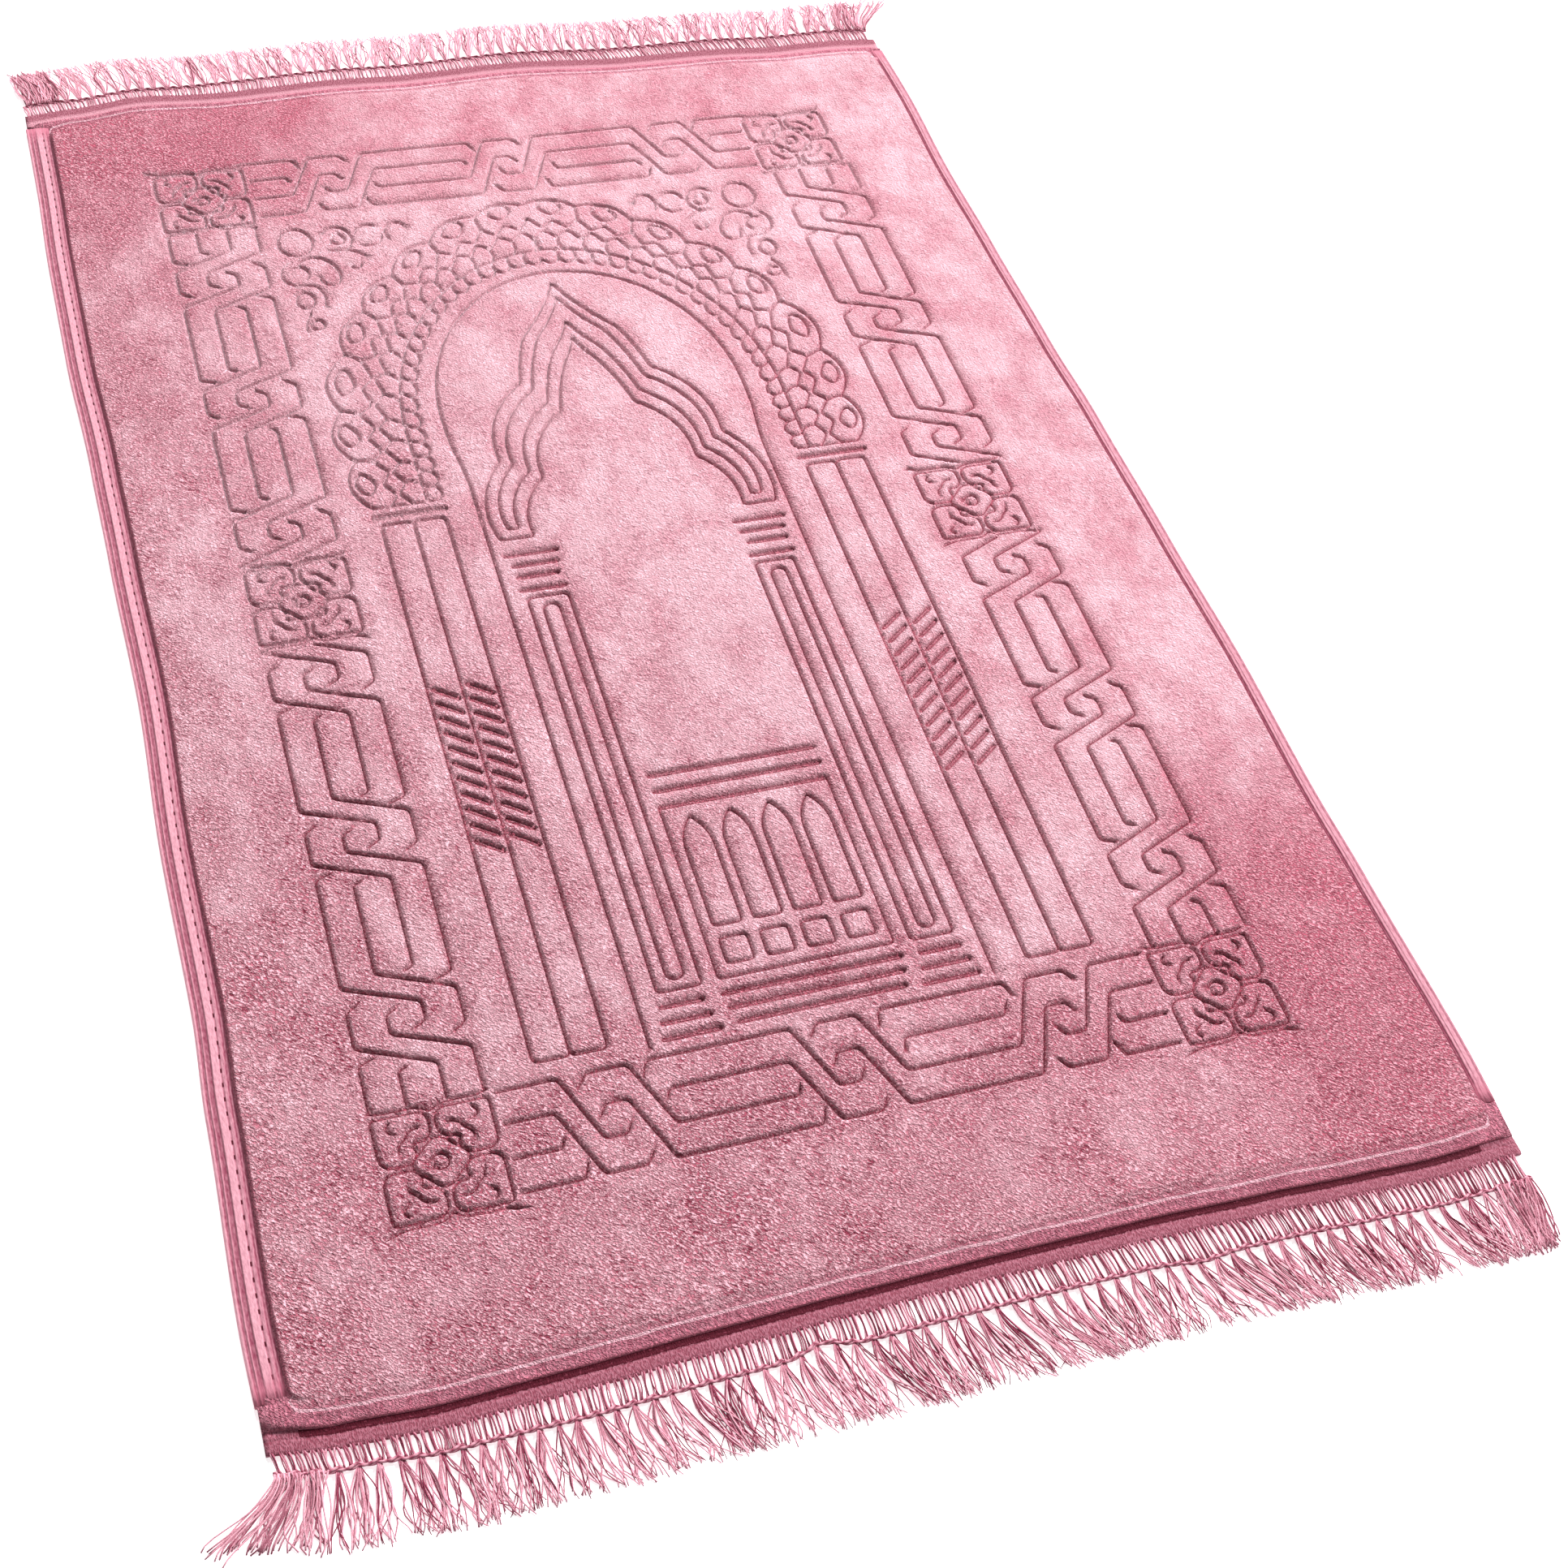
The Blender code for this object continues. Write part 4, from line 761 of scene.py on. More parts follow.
def softened(points, closed):
    """A line with each corner cut back and replaced by a short curve through its nearer side."""
    points = [Vector(p) for p in points]
    count = len(points)
    if count < 3:
        return [tuple(p) for p in points]
    out = [] if closed else [points[0]]
    for i in range(count) if closed else range(1, count - 1):
        here, before, after = points[i], points[i - 1], points[(i + 1) % count]
        back, on = before - here, after - here
        first = here + back * min(CORNER_CUT / max(back.length, 1e-6), 0.4)
        last = here + on * min(CORNER_CUT / max(on.length, 1e-6), 0.4)
        middle = (first + last) * 0.25 + here * 0.5
        out += [first, middle, last]
    if not closed:
        out.append(points[-1])
    return [tuple(p) for p in out]


def resampled(points, closed):
    """The line with points added so that none of its parts is longer than the step."""
    out = []
    ring = list(points) + ([points[0]] if closed else [])
    for (x0, y0), (x1, y1) in zip(ring[:-1], ring[1:]):
        count = max(1, math.ceil(math.hypot(x1 - x0, y1 - y0) / LINE_STEP))
        out += [(x0 + (x1 - x0) * i / count, y0 + (y1 - y0) * i / count) for i in range(count)]
    return out if closed else out + [tuple(points[-1])]


def beside(points, closed, offset):
    """A line's points moved to its left."""
    points = np.array(points, float)
    before, after = np.roll(points, 1, axis=0), np.roll(points, -1, axis=0)
    if not closed:
        before[0], after[-1] = points[0], points[-1]
    run = after - before
    run /= np.maximum(np.linalg.norm(run, axis=1), 1e-9)[:, None]
    return points + offset * np.column_stack((-run[:, 1], run[:, 0]))


def thinned(points, size):
    """The points with no two in one square of that size."""
    keys = np.floor(points / size).astype(np.int64)
    _, first = np.unique(keys[:, 0] * 100003 + keys[:, 1], return_index=True)
    return points[np.sort(first)]


def triangulate(loop, rows, loose):
    """Points and triangles that fill a closed loop, follow its rows of lines and use loose points."""
    points = [Vector(p) for p in loop]
    edges = []
    for row, closed in rows:
        first = len(points)
        points += [Vector(p) for p in row]
        edges += [(first + i, first + i + 1) for i in range(len(row) - 1)]
        edges += [(first + len(row) - 1, first)] if closed else []
    points += [Vector(p) for p in loose]
    made = delaunay_2d_cdt(points, edges, [list(range(len(loop)))], FILL_INSIDE, SAME_POINT)
    return np.array([tuple(p) for p in made[0]]), np.array([tuple(face) for face in made[2]])


def boundary_of(faces):
    """The outline of some triangles, as point numbers in order."""
    pairs = np.concatenate([faces[:, (0, 1)], faces[:, (1, 2)], faces[:, (2, 0)]])
    size = int(faces.max()) + 1
    there = set((pairs[:, 0] * size + pairs[:, 1]).tolist())
    after = {int(a): int(b) for a, b in pairs.tolist() if b * size + a not in there}
    start = next(iter(after))
    order = [start]
    while after[order[-1]] != start:
        order.append(after[order[-1]])
    return order


def mesh_object(name, points, faces, shader):
    """A smooth object at the origin from points in pattern millimetres, and lists of faces."""
    points = (np.asarray(points, float) + (PATTERN_X, PATTERN_Y, 0.0)) * MM
    data = bpy.data.meshes.new(name)
    data.from_pydata(points.tolist(), [], faces)
    data.polygons.foreach_set("use_smooth", np.full(len(data.polygons), True))
    data.materials.append(shader)
    data.update()
    made = bpy.data.objects.new(name, data)
    bpy.context.scene.collection.objects.link(made)
    return made


def add_attribute(obj, name, values):
    """A number for every point of the mesh, that its material reads."""
    layer = obj.data.attributes.new(name, "FLOAT", "POINT")
    layer.data.foreach_set("value", np.asarray(values, np.float32))


# ---------------------------------------------------------------- mat
SHOULDERS = (0.85, 1.8, 3.4)  # rows of points this far beside every pressed line
BESIDE_STEP, BESIDE_CLEAR, GRID_STEP, GRID_CLEAR, GRID_WAVE, EDGE_CLEAR = 1.3, 0.6, 7.0, 5.0, 1.5, 1.5
GRID_HALF_X, GRID_HALF_Y = 362.0, 552.0
PILE_RINGS = (0.0, 0.6, 1.3, PILE_SLOPE, PILE_SLOPE + 1.2)
BAND_LINES, BAND_LINE_INWARD = (1.1, 2.2, 3.4, 5.0, 7.4, 9.8, 10.9, 12.0, 13.0), 9.0
# How far from a pressed line, in millimetres, each mark of the plush reaches.
PRESSED_RUN, BAR_RUN, HIGHLIGHT_AT, HIGHLIGHT_RUN, LIT_RUN = 0.6, 1.3, 1.5, 0.6, 0.55
# The pressed lines' deeper colour is partly painted shade: its share in broad bars and beside the bindings,
# and how much it weakens towards the far end and where the lines catch the light.
BAR_SHARE, BINDING_SHADE_SHARE, FAR_RUN, FAR_SOFTENS, GLOW_SOFTENS = 0.6, 0.9, 250.0, 0.35, 0.45
RIDGE_BEND, RIDGE_BEND_RUN = 1.6, 12.0  # the band's ribs bend outwards near the bindings
MARGIN = 2.0  # strip beside the bindings that shows neither band nor ridge


def loose_points(lines):
    """Points in rows beside every pressed line, and a grid between, pushed about by sines."""
    rows = []
    for points, closed in lines:
        for offset in SHOULDERS:
            rows += [beside(points, closed, offset), beside(points, closed, -offset)]
    rows = thinned(np.concatenate(rows), BESIDE_STEP)
    rows = rows[distance_to_lines(rows, lines) > BESIDE_CLEAR]
    x, y = np.meshgrid(
        np.arange(-GRID_HALF_X, GRID_HALF_X, GRID_STEP), np.arange(-GRID_HALF_Y, GRID_HALF_Y, GRID_STEP)
    )
    grid = np.column_stack(((x + GRID_WAVE * np.sin(y)).ravel(), (y + GRID_WAVE * np.sin(x * 1.3)).ravel()))
    grid = grid[distance_to_lines(grid, lines) > GRID_CLEAR]
    every = np.concatenate((rows, grid))
    return every[pile_distance(every[:, 0], every[:, 1]) > PILE_SLOPE + EDGE_CLEAR]


def notch_lines():
    """The steps of the notches that the bindings wrap round, as lines on the mat's lower face."""
    lines = []
    for side in (-1, 1):
        for step in (0.0, RABBET_SLOPE):
            inner = edge_line(side, rabbet(side) + step, NOTCH + step)
            first = (float(edge_x(side, -NOTCH, TONGUE_INWARD)), -NOTCH - step)
            last = (float(edge_x(side, NOTCH, TONGUE_INWARD)), NOTCH + step)
            lines.append(([first] + inner + [last], False))
    return lines


def mat_marks(points, gap, bar_gap):
    """What the plush reads at each point of the upper face. Marks along pressed lines are bells
    of the distance to them: a deeper colour in the lines that is partly the pressed pile's own and partly
    painted shade, also along the pile's foot beside the bindings, and painted highlights beside the lines.
    Towards the far left the lines are paler and catch the light, with a painted highlight in them."""
    x, y = points[:, 0], points[:, 1]
    pile = smooth(pile_distance(x, y) / PILE_SLOPE)
    from_side, from_end = from_sides(x, y), from_folds(x, y)
    beyond, catches = smooth(y / FAR_RUN), smooth((y - 0.7 * x - 40.0) / 220.0)
    in_bar = BAR_SHARE * np.exp(-((bar_gap / BAR_RUN) ** 2))
    pressed = np.maximum(np.exp(-((gap / PRESSED_RUN) ** 2)), in_bar)
    pressed *= 1.0 - FAR_SOFTENS * beyond - GLOW_SOFTENS * catches
    border = 1.0 - smooth(from_side / MARGIN)
    ridge_bend = RIDGE_BEND * np.exp(-np.clip(from_side, 0.0, 60.0) / RIDGE_BEND_RUN)
    bent = np.maximum(from_end - ridge_bend * smooth((from_end - 3.0) / 3.0), 0.0)
    inside = from_side > MARGIN
    return {
        # deeper colour in the pressed lines and along the pile's foot beside the bindings: partly painted
        # shade
        "pressed": np.maximum(pressed * pile, BINDING_SHADE_SHARE * border),
        # painted highlight on both sides of every pressed line, stronger towards the far end
        "rim_highlight": np.exp(-(((gap - HIGHLIGHT_AT) / HIGHLIGHT_RUN) ** 2)) * pile * (0.5 + 0.8 * beyond),
        "near_line": np.exp(-gap / SAG_RUN) * pile,
        # painted highlight in the lines' cores where they catch the light, towards the far left
        "lit_line": np.exp(-((gap / LIT_RUN) ** 2)) * pile * catches,
        "pile": np.where(inside, smooth((from_end - RIDGE_INSIDE) / 1.2), pile),
        # painted sheen of the pile, by place on the rug
        "painted_sheen": painted_sheen(x, y),
        "nap": nap(x, y),
        "from_end": np.where(inside, bent, 4.0),
    }


def make_mat(shader):
    """The padded mat: one closed cloth. Its upper face follows the pattern's pressed lines, the
    pile's outline and the band's ribs, its lower face is flat, and walls join their rims."""
    lines = [(resampled(softened(line, closed), closed), closed) for line, closed in pressed_lines()]
    rows = lines + [(pile_loop(inset), True) for inset in PILE_RINGS]
    rows += [(fold_line(end, BAND_LINE_INWARD, -inside), False) for end in (-1, 1) for inside in BAND_LINES]
    points, faces = triangulate(mat_loop(), rows, loose_points(lines))
    gap = distance_to_lines(points, lines)
    rim = boundary_of(faces)
    below, below_faces = triangulate([tuple(points[i]) for i in rim], notch_lines(), [])
    top = np.column_stack((points, mat_top(points, gap)))
    bottom = np.column_stack((below, mat_bottom(below)))
    first = len(top)
    nearest = [first + int(np.argmin(((below - points[i]) ** 2).sum(axis=1))) for i in rim]
    around = list(zip(rim, nearest))
    walls = [(a, b, d, c) for (a, b), (c, d) in zip(around, around[1:] + around[:1])]
    all_faces = faces.tolist() + (below_faces[:, ::-1] + first).tolist() + walls
    mat = mesh_object("mat_plush", np.concatenate((top, bottom)), all_faces, shader)
    under = np.zeros(len(bottom))
    for name, values in mat_marks(points, gap, distance_to_lines(points, broad_bars())).items():
        add_attribute(mat, name, np.concatenate((values, under)))
    return mat


# ---------------------------------------------------------------- bindings
# Each tape from the rug's edge inwards: lengthwise strips of their own height and shade. The shade is partly
# the tape's own stripes and partly painted light and shade: pale on the ridges, dark in the hollows.
STRIPS = {
    -1: table(
        "inward height shade",
        (1.2, 5.1, 0.95), (1.8, 5.1, 0.60), (2.3, 4.6, 0.05), (3.1, 4.6, 0.30), (4.0, 5.2, 0.55),
        (4.7, 4.7, 0.15), (6.7, 4.7, 0.18), (7.4, 5.4, 0.85), (10.9, 5.4, 0.80), (11.6, 4.8, 0.30),
        (12.6, 5.2, 0.65), (13.8, 5.2, 0.45), (14.4, 4.5, 0.05), (15.3, 4.7, 0.35), (16.1, 4.4, 0.05),
    ),
    1: table(
        "inward height shade",
        (1.2, 5.1, 0.75), (1.8, 5.1, 0.65), (2.3, 4.9, 0.35), (3.1, 4.9, 0.40), (3.7, 5.2, 0.65),
        (5.6, 5.3, 0.70), (6.2, 5.0, 0.45), (6.9, 5.1, 0.65), (7.7, 5.1, 0.60), (8.3, 4.5, 0.10),
        (9.1, 4.4, 0.05),
    ),
}
STITCH_AT, STITCH_HALF, STITCH_PITCH = 11.7, 0.5, 9.0
# The tape's round fold from underneath to its upper face, then the slot that takes the mat.
TAPE_FOLD = ((1.2, 0.0), (0.35, 0.35), (0.0, 1.4), (0.0, 3.0), (0.3, 4.2), (0.7, 4.8))
TAPE_LIP, SLOT_TOP, SLOT_BOTTOM, SLOT_INWARD, TAPE_POINTS = 4.2, 3.75, 1.3, 3.2, 64
END_RUN, END_HEIGHT, END_PRESS = 20.0, 3.8, 0.8  # near its ends a tape is pressed down to this height


def binding_section(side):
    """The tape's section from its inner lower edge, out and over, as (inward, height)."""
    width = SIDE_WIDTH[side]
    over = np.linspace(1.1, width - 0.4, TAPE_POINTS)
    heights = profile(over, STRIPS[side], "height")
    upper = [(float(inward), float(height)) for inward, height in zip(over, heights)]
    slot = [(width, SLOT_TOP), (SLOT_INWARD, SLOT_TOP), (SLOT_INWARD, SLOT_BOTTOM), (width, SLOT_BOTTOM)]
    return [(width, 0.0)] + list(TAPE_FOLD) + upper + [(width, TAPE_LIP)] + slot


def make_binding(side, name, shader):
    """A tape folded round one long edge: its section carried along the edge, lower near its ends
    by a smooth step, and both ends closed."""
    section = binding_section(side)
    count = len(section)
    rings = np.array([edge_line(side, inward) for inward, _ in section]).transpose(1, 0, 2)
    stations = len(rings)
    heights = np.array([height for _, height in section])
    open_end = smooth((np.abs(rings[:, :, 1]) - BINDING_REACH + END_RUN) / END_RUN)
    pressed = heights - (heights - END_HEIGHT) * END_PRESS * open_end
    heights = np.where(heights > END_HEIGHT, pressed, heights)
    points = np.concatenate((rings, heights[..., None]), axis=2).reshape(-1, 3)
    i, j = np.meshgrid(np.arange(stations - 1), np.arange(count), indexing="ij")
    a, b = i * count + j, i * count + (j + 1) % count
    quads = np.stack((a, b, b + count, a + count), axis=-1).reshape(-1, 4)
    quads = quads if side < 0 else quads[:, ::-1]
    ends = [list(range(count)), list(range((stations - 1) * count, stations * count))[::-1]]
    ends = [ring[::-1] for ring in ends] if side < 0 else ends
    made = mesh_object(name, points, quads.tolist() + ends, shader)
    inward = np.array([inward for inward, _ in section])
    add_attribute(made, "shade", np.tile(profile(inward, STRIPS[side], "shade"), stations))
    add_attribute(made, "inward", np.tile(inward, stations))
    add_attribute(made, "along", points[:, 1])
    add_attribute(made, "fade", open_end.reshape(-1))
    return made


# ---------------------------------------------------------------- fringe
Bump = namedtuple("Bump", "x amount run")
CHAIN_PULLS = (Bump(150.0, 3.0, 16.0), Bump(-65.0, -4.5, 12.0))  # let out, and pulled in
Dip = namedtuple("Dip", "out run")
HEADER_DIPS, DIP_DEPTH = (Dip(1.3, 1.0), Dip(4.6, 0.6)), 0.3
HEADER_POINTS, HEADER_STATIONS, HEADER_ROUND, HEADER_DROP, HEADER_WAVE = 25, 241, 1.6, 0.5, 0.25
YARN_SEED, YARN_STATIONS, THREAD_STATIONS, TWINE_STATIONS, TUBE_SIDES, TUBE_TURN = 11, 12, 8, 900, 5, 0.3
# Open row: half the thickness of its threads and their flare, their height, and a pair's spacing.
THREAD_HALF, THREAD_FLARE, THREAD_HEIGHT, PAIR_HALF, THIN_HALF, THIN_LIFT = 0.50, 0.45, 1.3, 0.6, 0.32, 0.8
THREAD_SCATTER, THREAD_BOW, THREAD_HUMP, THREAD_START = 0.30, 0.6, 0.25, 0.8
THREAD_SLANT, SLANT_SCATTER, SLANT_WAVE = 1.2, 0.5, 90.0
# Twined row: half a yarn's thickness, its swing out and in, its bow, its height and its rise and fall.
TWINE_HALF, TWINE_SWING, TWINE_BOW, TWINE_HEIGHT, TWINE_RISE = 0.8, 0.75, 1.1, 1.9, 0.7
# Loose yarns: how many a bunch, half their thickness, and how they spread and stray.
FEWEST, MOST, PALE_HALF, DARK_HALF, TUFT_HALF, TIP_THINNING = 11, 15, 0.47, 0.36, 0.46, 0.12
ROOT_SPREAD, TIP_SPREAD, BUNCH_LEAN, STRAY_SHARE, STRAY_LEAN = 0.8, 4.3, 2.2, 0.08, 9.0
SLOW_BEND, QUICK_BEND, YARN_LOW, YARN_ROOT, STRAIGHT_SHARE = 2.9, 1.9, 0.5, 1.5, 0.75
TUFT_YARNS, FULL_TUFT_YARNS, CORNER_SHORTER = 70, 95, 10.0  # the far left tuft is the full one


def chain_out(end, x):
    """How far outside the fold line the twined row runs. The near one is let out at one place and
    pulled in at another, by a bell each."""
    out = eased(x, CHAIN_ROWS, END_NAMES[end])
    x = np.asarray(x, float)
    let_out, pulled_in = (b.amount * np.exp(-(((x - b.x) / b.run) ** 2)) for b in CHAIN_PULLS)
    return out + (let_out + pulled_in if end < 0 else 0.0)


def chain_y(end, x):
    """Y of the twined row."""
    return fold_y(end, x, chain_out(end, x))


def fringe_ends(end, inward):
    """X of both ends of a fringe, a given way in from the cloth's edges."""
    return [float(edge_x(side, end * BINDING_REACH, inward)) for side in (-1, 1)]


def make_header(end, name, shader):
    """The woven strip beyond the fold: a grid that follows the fold line, waving a little at its
    outer edge. Its height is even, less two bell-shaped dips along it and a rounded outer edge.
    The same grid lies under it, and walls close the two."""
    across = np.linspace(-HEADER_GAP, FRINGES[end].header, HEADER_POINTS)
    height = HEADER_TOP
    for dip in HEADER_DIPS:
        height = height - DIP_DEPTH * np.exp(-(((across - dip.out) / dip.run) ** 2))
    height -= HEADER_DROP * smooth((across - across[-1] + HEADER_ROUND) / HEADER_ROUND)
    x = np.linspace(*fringe_ends(end, CORNER_INWARD), HEADER_STATIONS)
    grid_x, grid_out = np.meshgrid(x, across, indexing="ij")
    wave = HEADER_WAVE * np.sin(grid_x / 7.0) * smooth(grid_out / 12.0)
    y = fold_y(end, grid_x, grid_out + wave)
    top = np.stack((grid_x, y, np.broadcast_to(height, grid_x.shape)), axis=-1).reshape(-1, 3)
    low = top * (1, 1, 0) + (0, 0, HEADER_BOTTOM)
    count, rows = len(across), len(x)
    i, j = np.meshgrid(np.arange(rows - 1), np.arange(count - 1), indexing="ij")
    a = i * count + j
    quads = np.stack((a, a + 1, a + 1 + count, a + count), axis=-1).reshape(-1, 4)
    quads = quads[:, ::-1] if end > 0 else quads
    first = len(top)
    edge = list(range(count)) + [k * count + count - 1 for k in range(1, rows)]
    edge += [(rows - 1) * count + k for k in range(count - 2, -1, -1)]
    edge += [k * count for k in range(rows - 2, 0, -1)]
    walls = [(edge[k], edge[k - 1], first + edge[k - 1], first + edge[k]) for k in range(len(edge))]
    walls = [wall[::-1] for wall in walls] if end > 0 else walls
    faces = quads.tolist() + (quads[:, ::-1] + first).tolist() + walls
    made = mesh_object(name, np.concatenate((top, low)), faces, shader)
    add_attribute(made, "outward", np.tile(grid_out.ravel(), 2))
    add_attribute(made, "along", np.tile(grid_x.ravel(), 2))
    return made


def tubes(paths, radii):
    """Closed tubes round many paths at once. paths is (tubes, stations, 3) and radii is
    (tubes, stations). Each ring stands square to its path, and each end is one flat face."""
    count, stations, _ = paths.shape
    run = np.gradient(paths, axis=1)
    run /= np.maximum(np.linalg.norm(run, axis=2), 1e-9)[..., None]
    across = np.cross(run, (0.0, 0.0, 1.0))
    across /= np.maximum(np.linalg.norm(across, axis=2), 1e-9)[..., None]
    up = np.cross(across, run)
    angle = np.arange(TUBE_SIDES) * 2.0 * np.pi / TUBE_SIDES + TUBE_TURN
    ring = across[:, :, None] * np.cos(angle)[:, None] + up[:, :, None] * np.sin(angle)[:, None]
    points = paths[:, :, None] + radii[:, :, None, None] * ring
    t, i, j = np.meshgrid(np.arange(count), np.arange(stations - 1), np.arange(TUBE_SIDES), indexing="ij")
    a = (t * stations + i) * TUBE_SIDES + j
    b = (t * stations + i) * TUBE_SIDES + (j + 1) % TUBE_SIDES
    quads = np.stack((a, a + TUBE_SIDES, b + TUBE_SIDES, b), axis=-1).reshape(-1, 4)
    start = (np.arange(count) * stations * TUBE_SIDES)[:, None] + np.arange(TUBE_SIDES)
    stop = start + (stations - 1) * TUBE_SIDES
    return points.reshape(-1, 3), quads.tolist() + start.tolist() + stop[:, ::-1].tolist()


class Bundle:
    """Tubes gathered for one mesh, with a shade at each of their points."""

    def __init__(self):
        self.points, self.faces, self.shades, self.first = [], [], [], 0

    def add(self, paths, radii, shade):
        """Adds tubes whose shade is given by tube, by station or for both."""
        points, faces = tubes(paths, radii)
        self.points.append(points)
        self.faces += [[v + self.first for v in face] for face in faces]
        self.shades.append(np.repeat(np.broadcast_to(shade, radii.shape).ravel(), TUBE_SIDES))
        self.first += len(points)


def yarn_paths(rng, end, roots, tips, lengths, start):
    """Paths of loose yarns from the twined row outwards: from root to tip, plus a slow and a quick
    sideways bend that grow along the yarn, lying on the floor but for a low hump."""
    count = len(roots)
    t = np.linspace(0.0, 1.0, YARN_STATIONS)[None, :]
    slow = rng.normal(0.0, 1.0, (count, 1)) * SLOW_BEND
    quick = rng.normal(0.0, 1.0, (count, 1)) * QUICK_BEND
    turn = rng.uniform(0.0, 6.28, (count, 1))
    waves = rng.uniform(2.2, 3.6, (count, 1)) * np.pi
    bend = slow * np.sin(np.pi * t) + quick * (np.sin(waves * t + turn) - np.sin(turn)) * t
    sideways = (tips - roots)[:, None] * smooth(t * STRAIGHT_SHARE) / smooth(STRAIGHT_SHARE)
    x = roots[:, None] + sideways + bend
    out = start + (lengths[:, None] - start) * t
    y = end * (end * chain_y(end, roots)[:, None] + out)
    lift = np.abs(rng.normal(0.0, 0.5, (count, 1)))
    z = YARN_LOW + (YARN_ROOT - YARN_LOW) * (1.0 - t) ** 3 + lift * np.sin(np.pi * t)
    z = z + 0.3 * rng.uniform(0, 1, (count, 1))
    return np.stack((x, y, z), axis=-1)


def open_row(bundle, rng, end, left, right, pitch):
    """Threads between header and twined row, by threes: two pale ones that flare at both ends,
    and a thin dark one lying over them. Each slants a little and bows sideways as a half sine."""
    row = FRINGES[end]
    x = np.repeat(np.arange(left + 1.0, right - 1.0, pitch / row.ladders), 3)
    third = np.arange(len(x)) % 3
    x = x + rng.normal(0.0, THREAD_SCATTER, len(x))
    t = np.linspace(0.0, 1.0, THREAD_STATIONS)[None, :]
    pair = np.choose(third, (-PAIR_HALF, PAIR_HALF, 0.0))
    slant = -end * (THREAD_SLANT + THREAD_SLANT * np.sin(x / SLANT_WAVE))
    slant = slant + rng.normal(0.0, SLANT_SCATTER, len(x))
    start, stop = fold_y(end, x, row.header - THREAD_START), chain_y(end, x)
    bow = rng.normal(0.0, THREAD_BOW, (len(x), 1)) * np.sin(np.pi * t)
    px = (x + pair)[:, None] + slant[:, None] * t + bow
    py = start[:, None] + (stop - start)[:, None] * t
    thin = (third == 2)[:, None]
    pz = THREAD_HEIGHT + THREAD_HUMP * np.sin(np.pi * t) + np.where(thin, THIN_LIFT, 0.0)
    radii = np.where(thin, THIN_HALF, THREAD_HALF + THREAD_FLARE * np.abs(2.0 * t - 1.0) ** 3)
    shade = np.where(thin, 1.0, rng.uniform(0.2, 0.9, (len(x), 1))) * row.tone
    bundle.add(np.stack((px, py, pz), axis=-1), radii, shade)


def twined_row(bundle, end, left, right, first, pitch):
    """Two yarns twined round each other: each swings out and in as a cosine and up and down as a
    sine, half a turn a bunch and opposite to the other, and both bow out between the bunches."""
    x = np.linspace(left, right, TWINE_STATIONS)
    phase = np.pi * (x - first) / pitch
    for sign in (-1.0, 1.0):
        out = sign * TWINE_SWING * np.cos(phase) + TWINE_BOW * np.abs(np.sin(phase)) - 0.3
        height = TWINE_HEIGHT + sign * TWINE_RISE * np.sin(phase)
        path = np.stack((x, chain_y(end, x) + end * out, height), axis=-1)
        shade = 0.6 + 0.35 * np.cos(phase * 4.0 + sign)
        bundle.add(path[None], np.full((1, len(x)), TWINE_HALF), shade[None])


def loose_yarns(bundle, rng, end, middles):
    """The yarns of every bunch: rooted close together, fanned out at their tips, leaning as the
    table says and thinner outwards. A few stray, and some are dark and thin. All are darker near the root:
    painted shade where they crowd together."""
    row = FRINGES[end]
    reach = np.interp(middles, (-350, 0, 350), (row.left_tip, row.middle_tip, row.right_tip))
    bunch = np.repeat(np.arange(BUNCHES), rng.integers(FEWEST, MOST + 1, BUNCHES))
    count = len(bunch)
    fan = rng.normal(0.0, 1.0, count)
    roots = middles[bunch] + np.clip(fan, -1.5, 1.5) * ROOT_SPREAD
    bunch_lean = rng.normal(0.0, BUNCH_LEAN, BUNCHES)
    lean = eased(middles, LEAN_ROWS, END_NAMES[end])
    tips = middles[bunch] + lean[bunch] + bunch_lean[bunch] + fan * TIP_SPREAD
    lengths = reach[bunch] - chain_out(end, middles)[bunch] + rng.normal(0.0, 1.6, count)
    stray = rng.random(count) < STRAY_SHARE
    tips = tips + np.where(stray, rng.normal(0.0, STRAY_LEAN, count), 0.0)
    paths = yarn_paths(rng, end, roots, tips, lengths, 0.6)
    along = np.linspace(0, 1, YARN_STATIONS)
    dark = rng.random((count, 1)) < row.dark
    shade = np.where(dark, 1.0, rng.uniform(0.0, 0.55, (count, 1)) * row.tone)
    # painted shade where the yarns crowd at the root
    shade = np.clip(shade + 0.4 * (1 - along) ** 4, 0.0, 1.0)
    bundle.add(paths, np.where(dark, DARK_HALF, PALE_HALF) - TIP_THINNING * along**3, shade)


def corner_tuft(bundle, rng, end, side, edge):
    """Yarns of one corner, evenly spread and piled a little at the root."""
    row = FRINGES[end]
    count = FULL_TUFT_YARNS if side < 0 and end > 0 else TUFT_YARNS
    roots = edge - side * rng.uniform(0.0, CORNER_ZONE, count)
    tips = roots + eased(roots, LEAN_ROWS, END_NAMES[end]) + rng.normal(0.0, 3.0, count)
    corner = row.left_tip - (CORNER_SHORTER if end < 0 else 0.0)
    tip_reaches = (corner, row.left_tip, row.middle_tip, row.right_tip)
    tip_reach = np.interp(roots, (-345, -320, 0, 350), tip_reaches)
    lengths = tip_reach - chain_out(end, roots) + rng.normal(0.0, 2.5, count)
    paths = yarn_paths(rng, end, roots, tips, lengths, 0.0)
    paths[..., 2] += rng.uniform(0.0, 2.0, (count, 1)) * (1.0 - np.linspace(0, 1, YARN_STATIONS) ** 2)
    bundle.add(paths, np.full(paths.shape[:2], TUFT_HALF), rng.uniform(0.0, 0.9, (count, 1)))


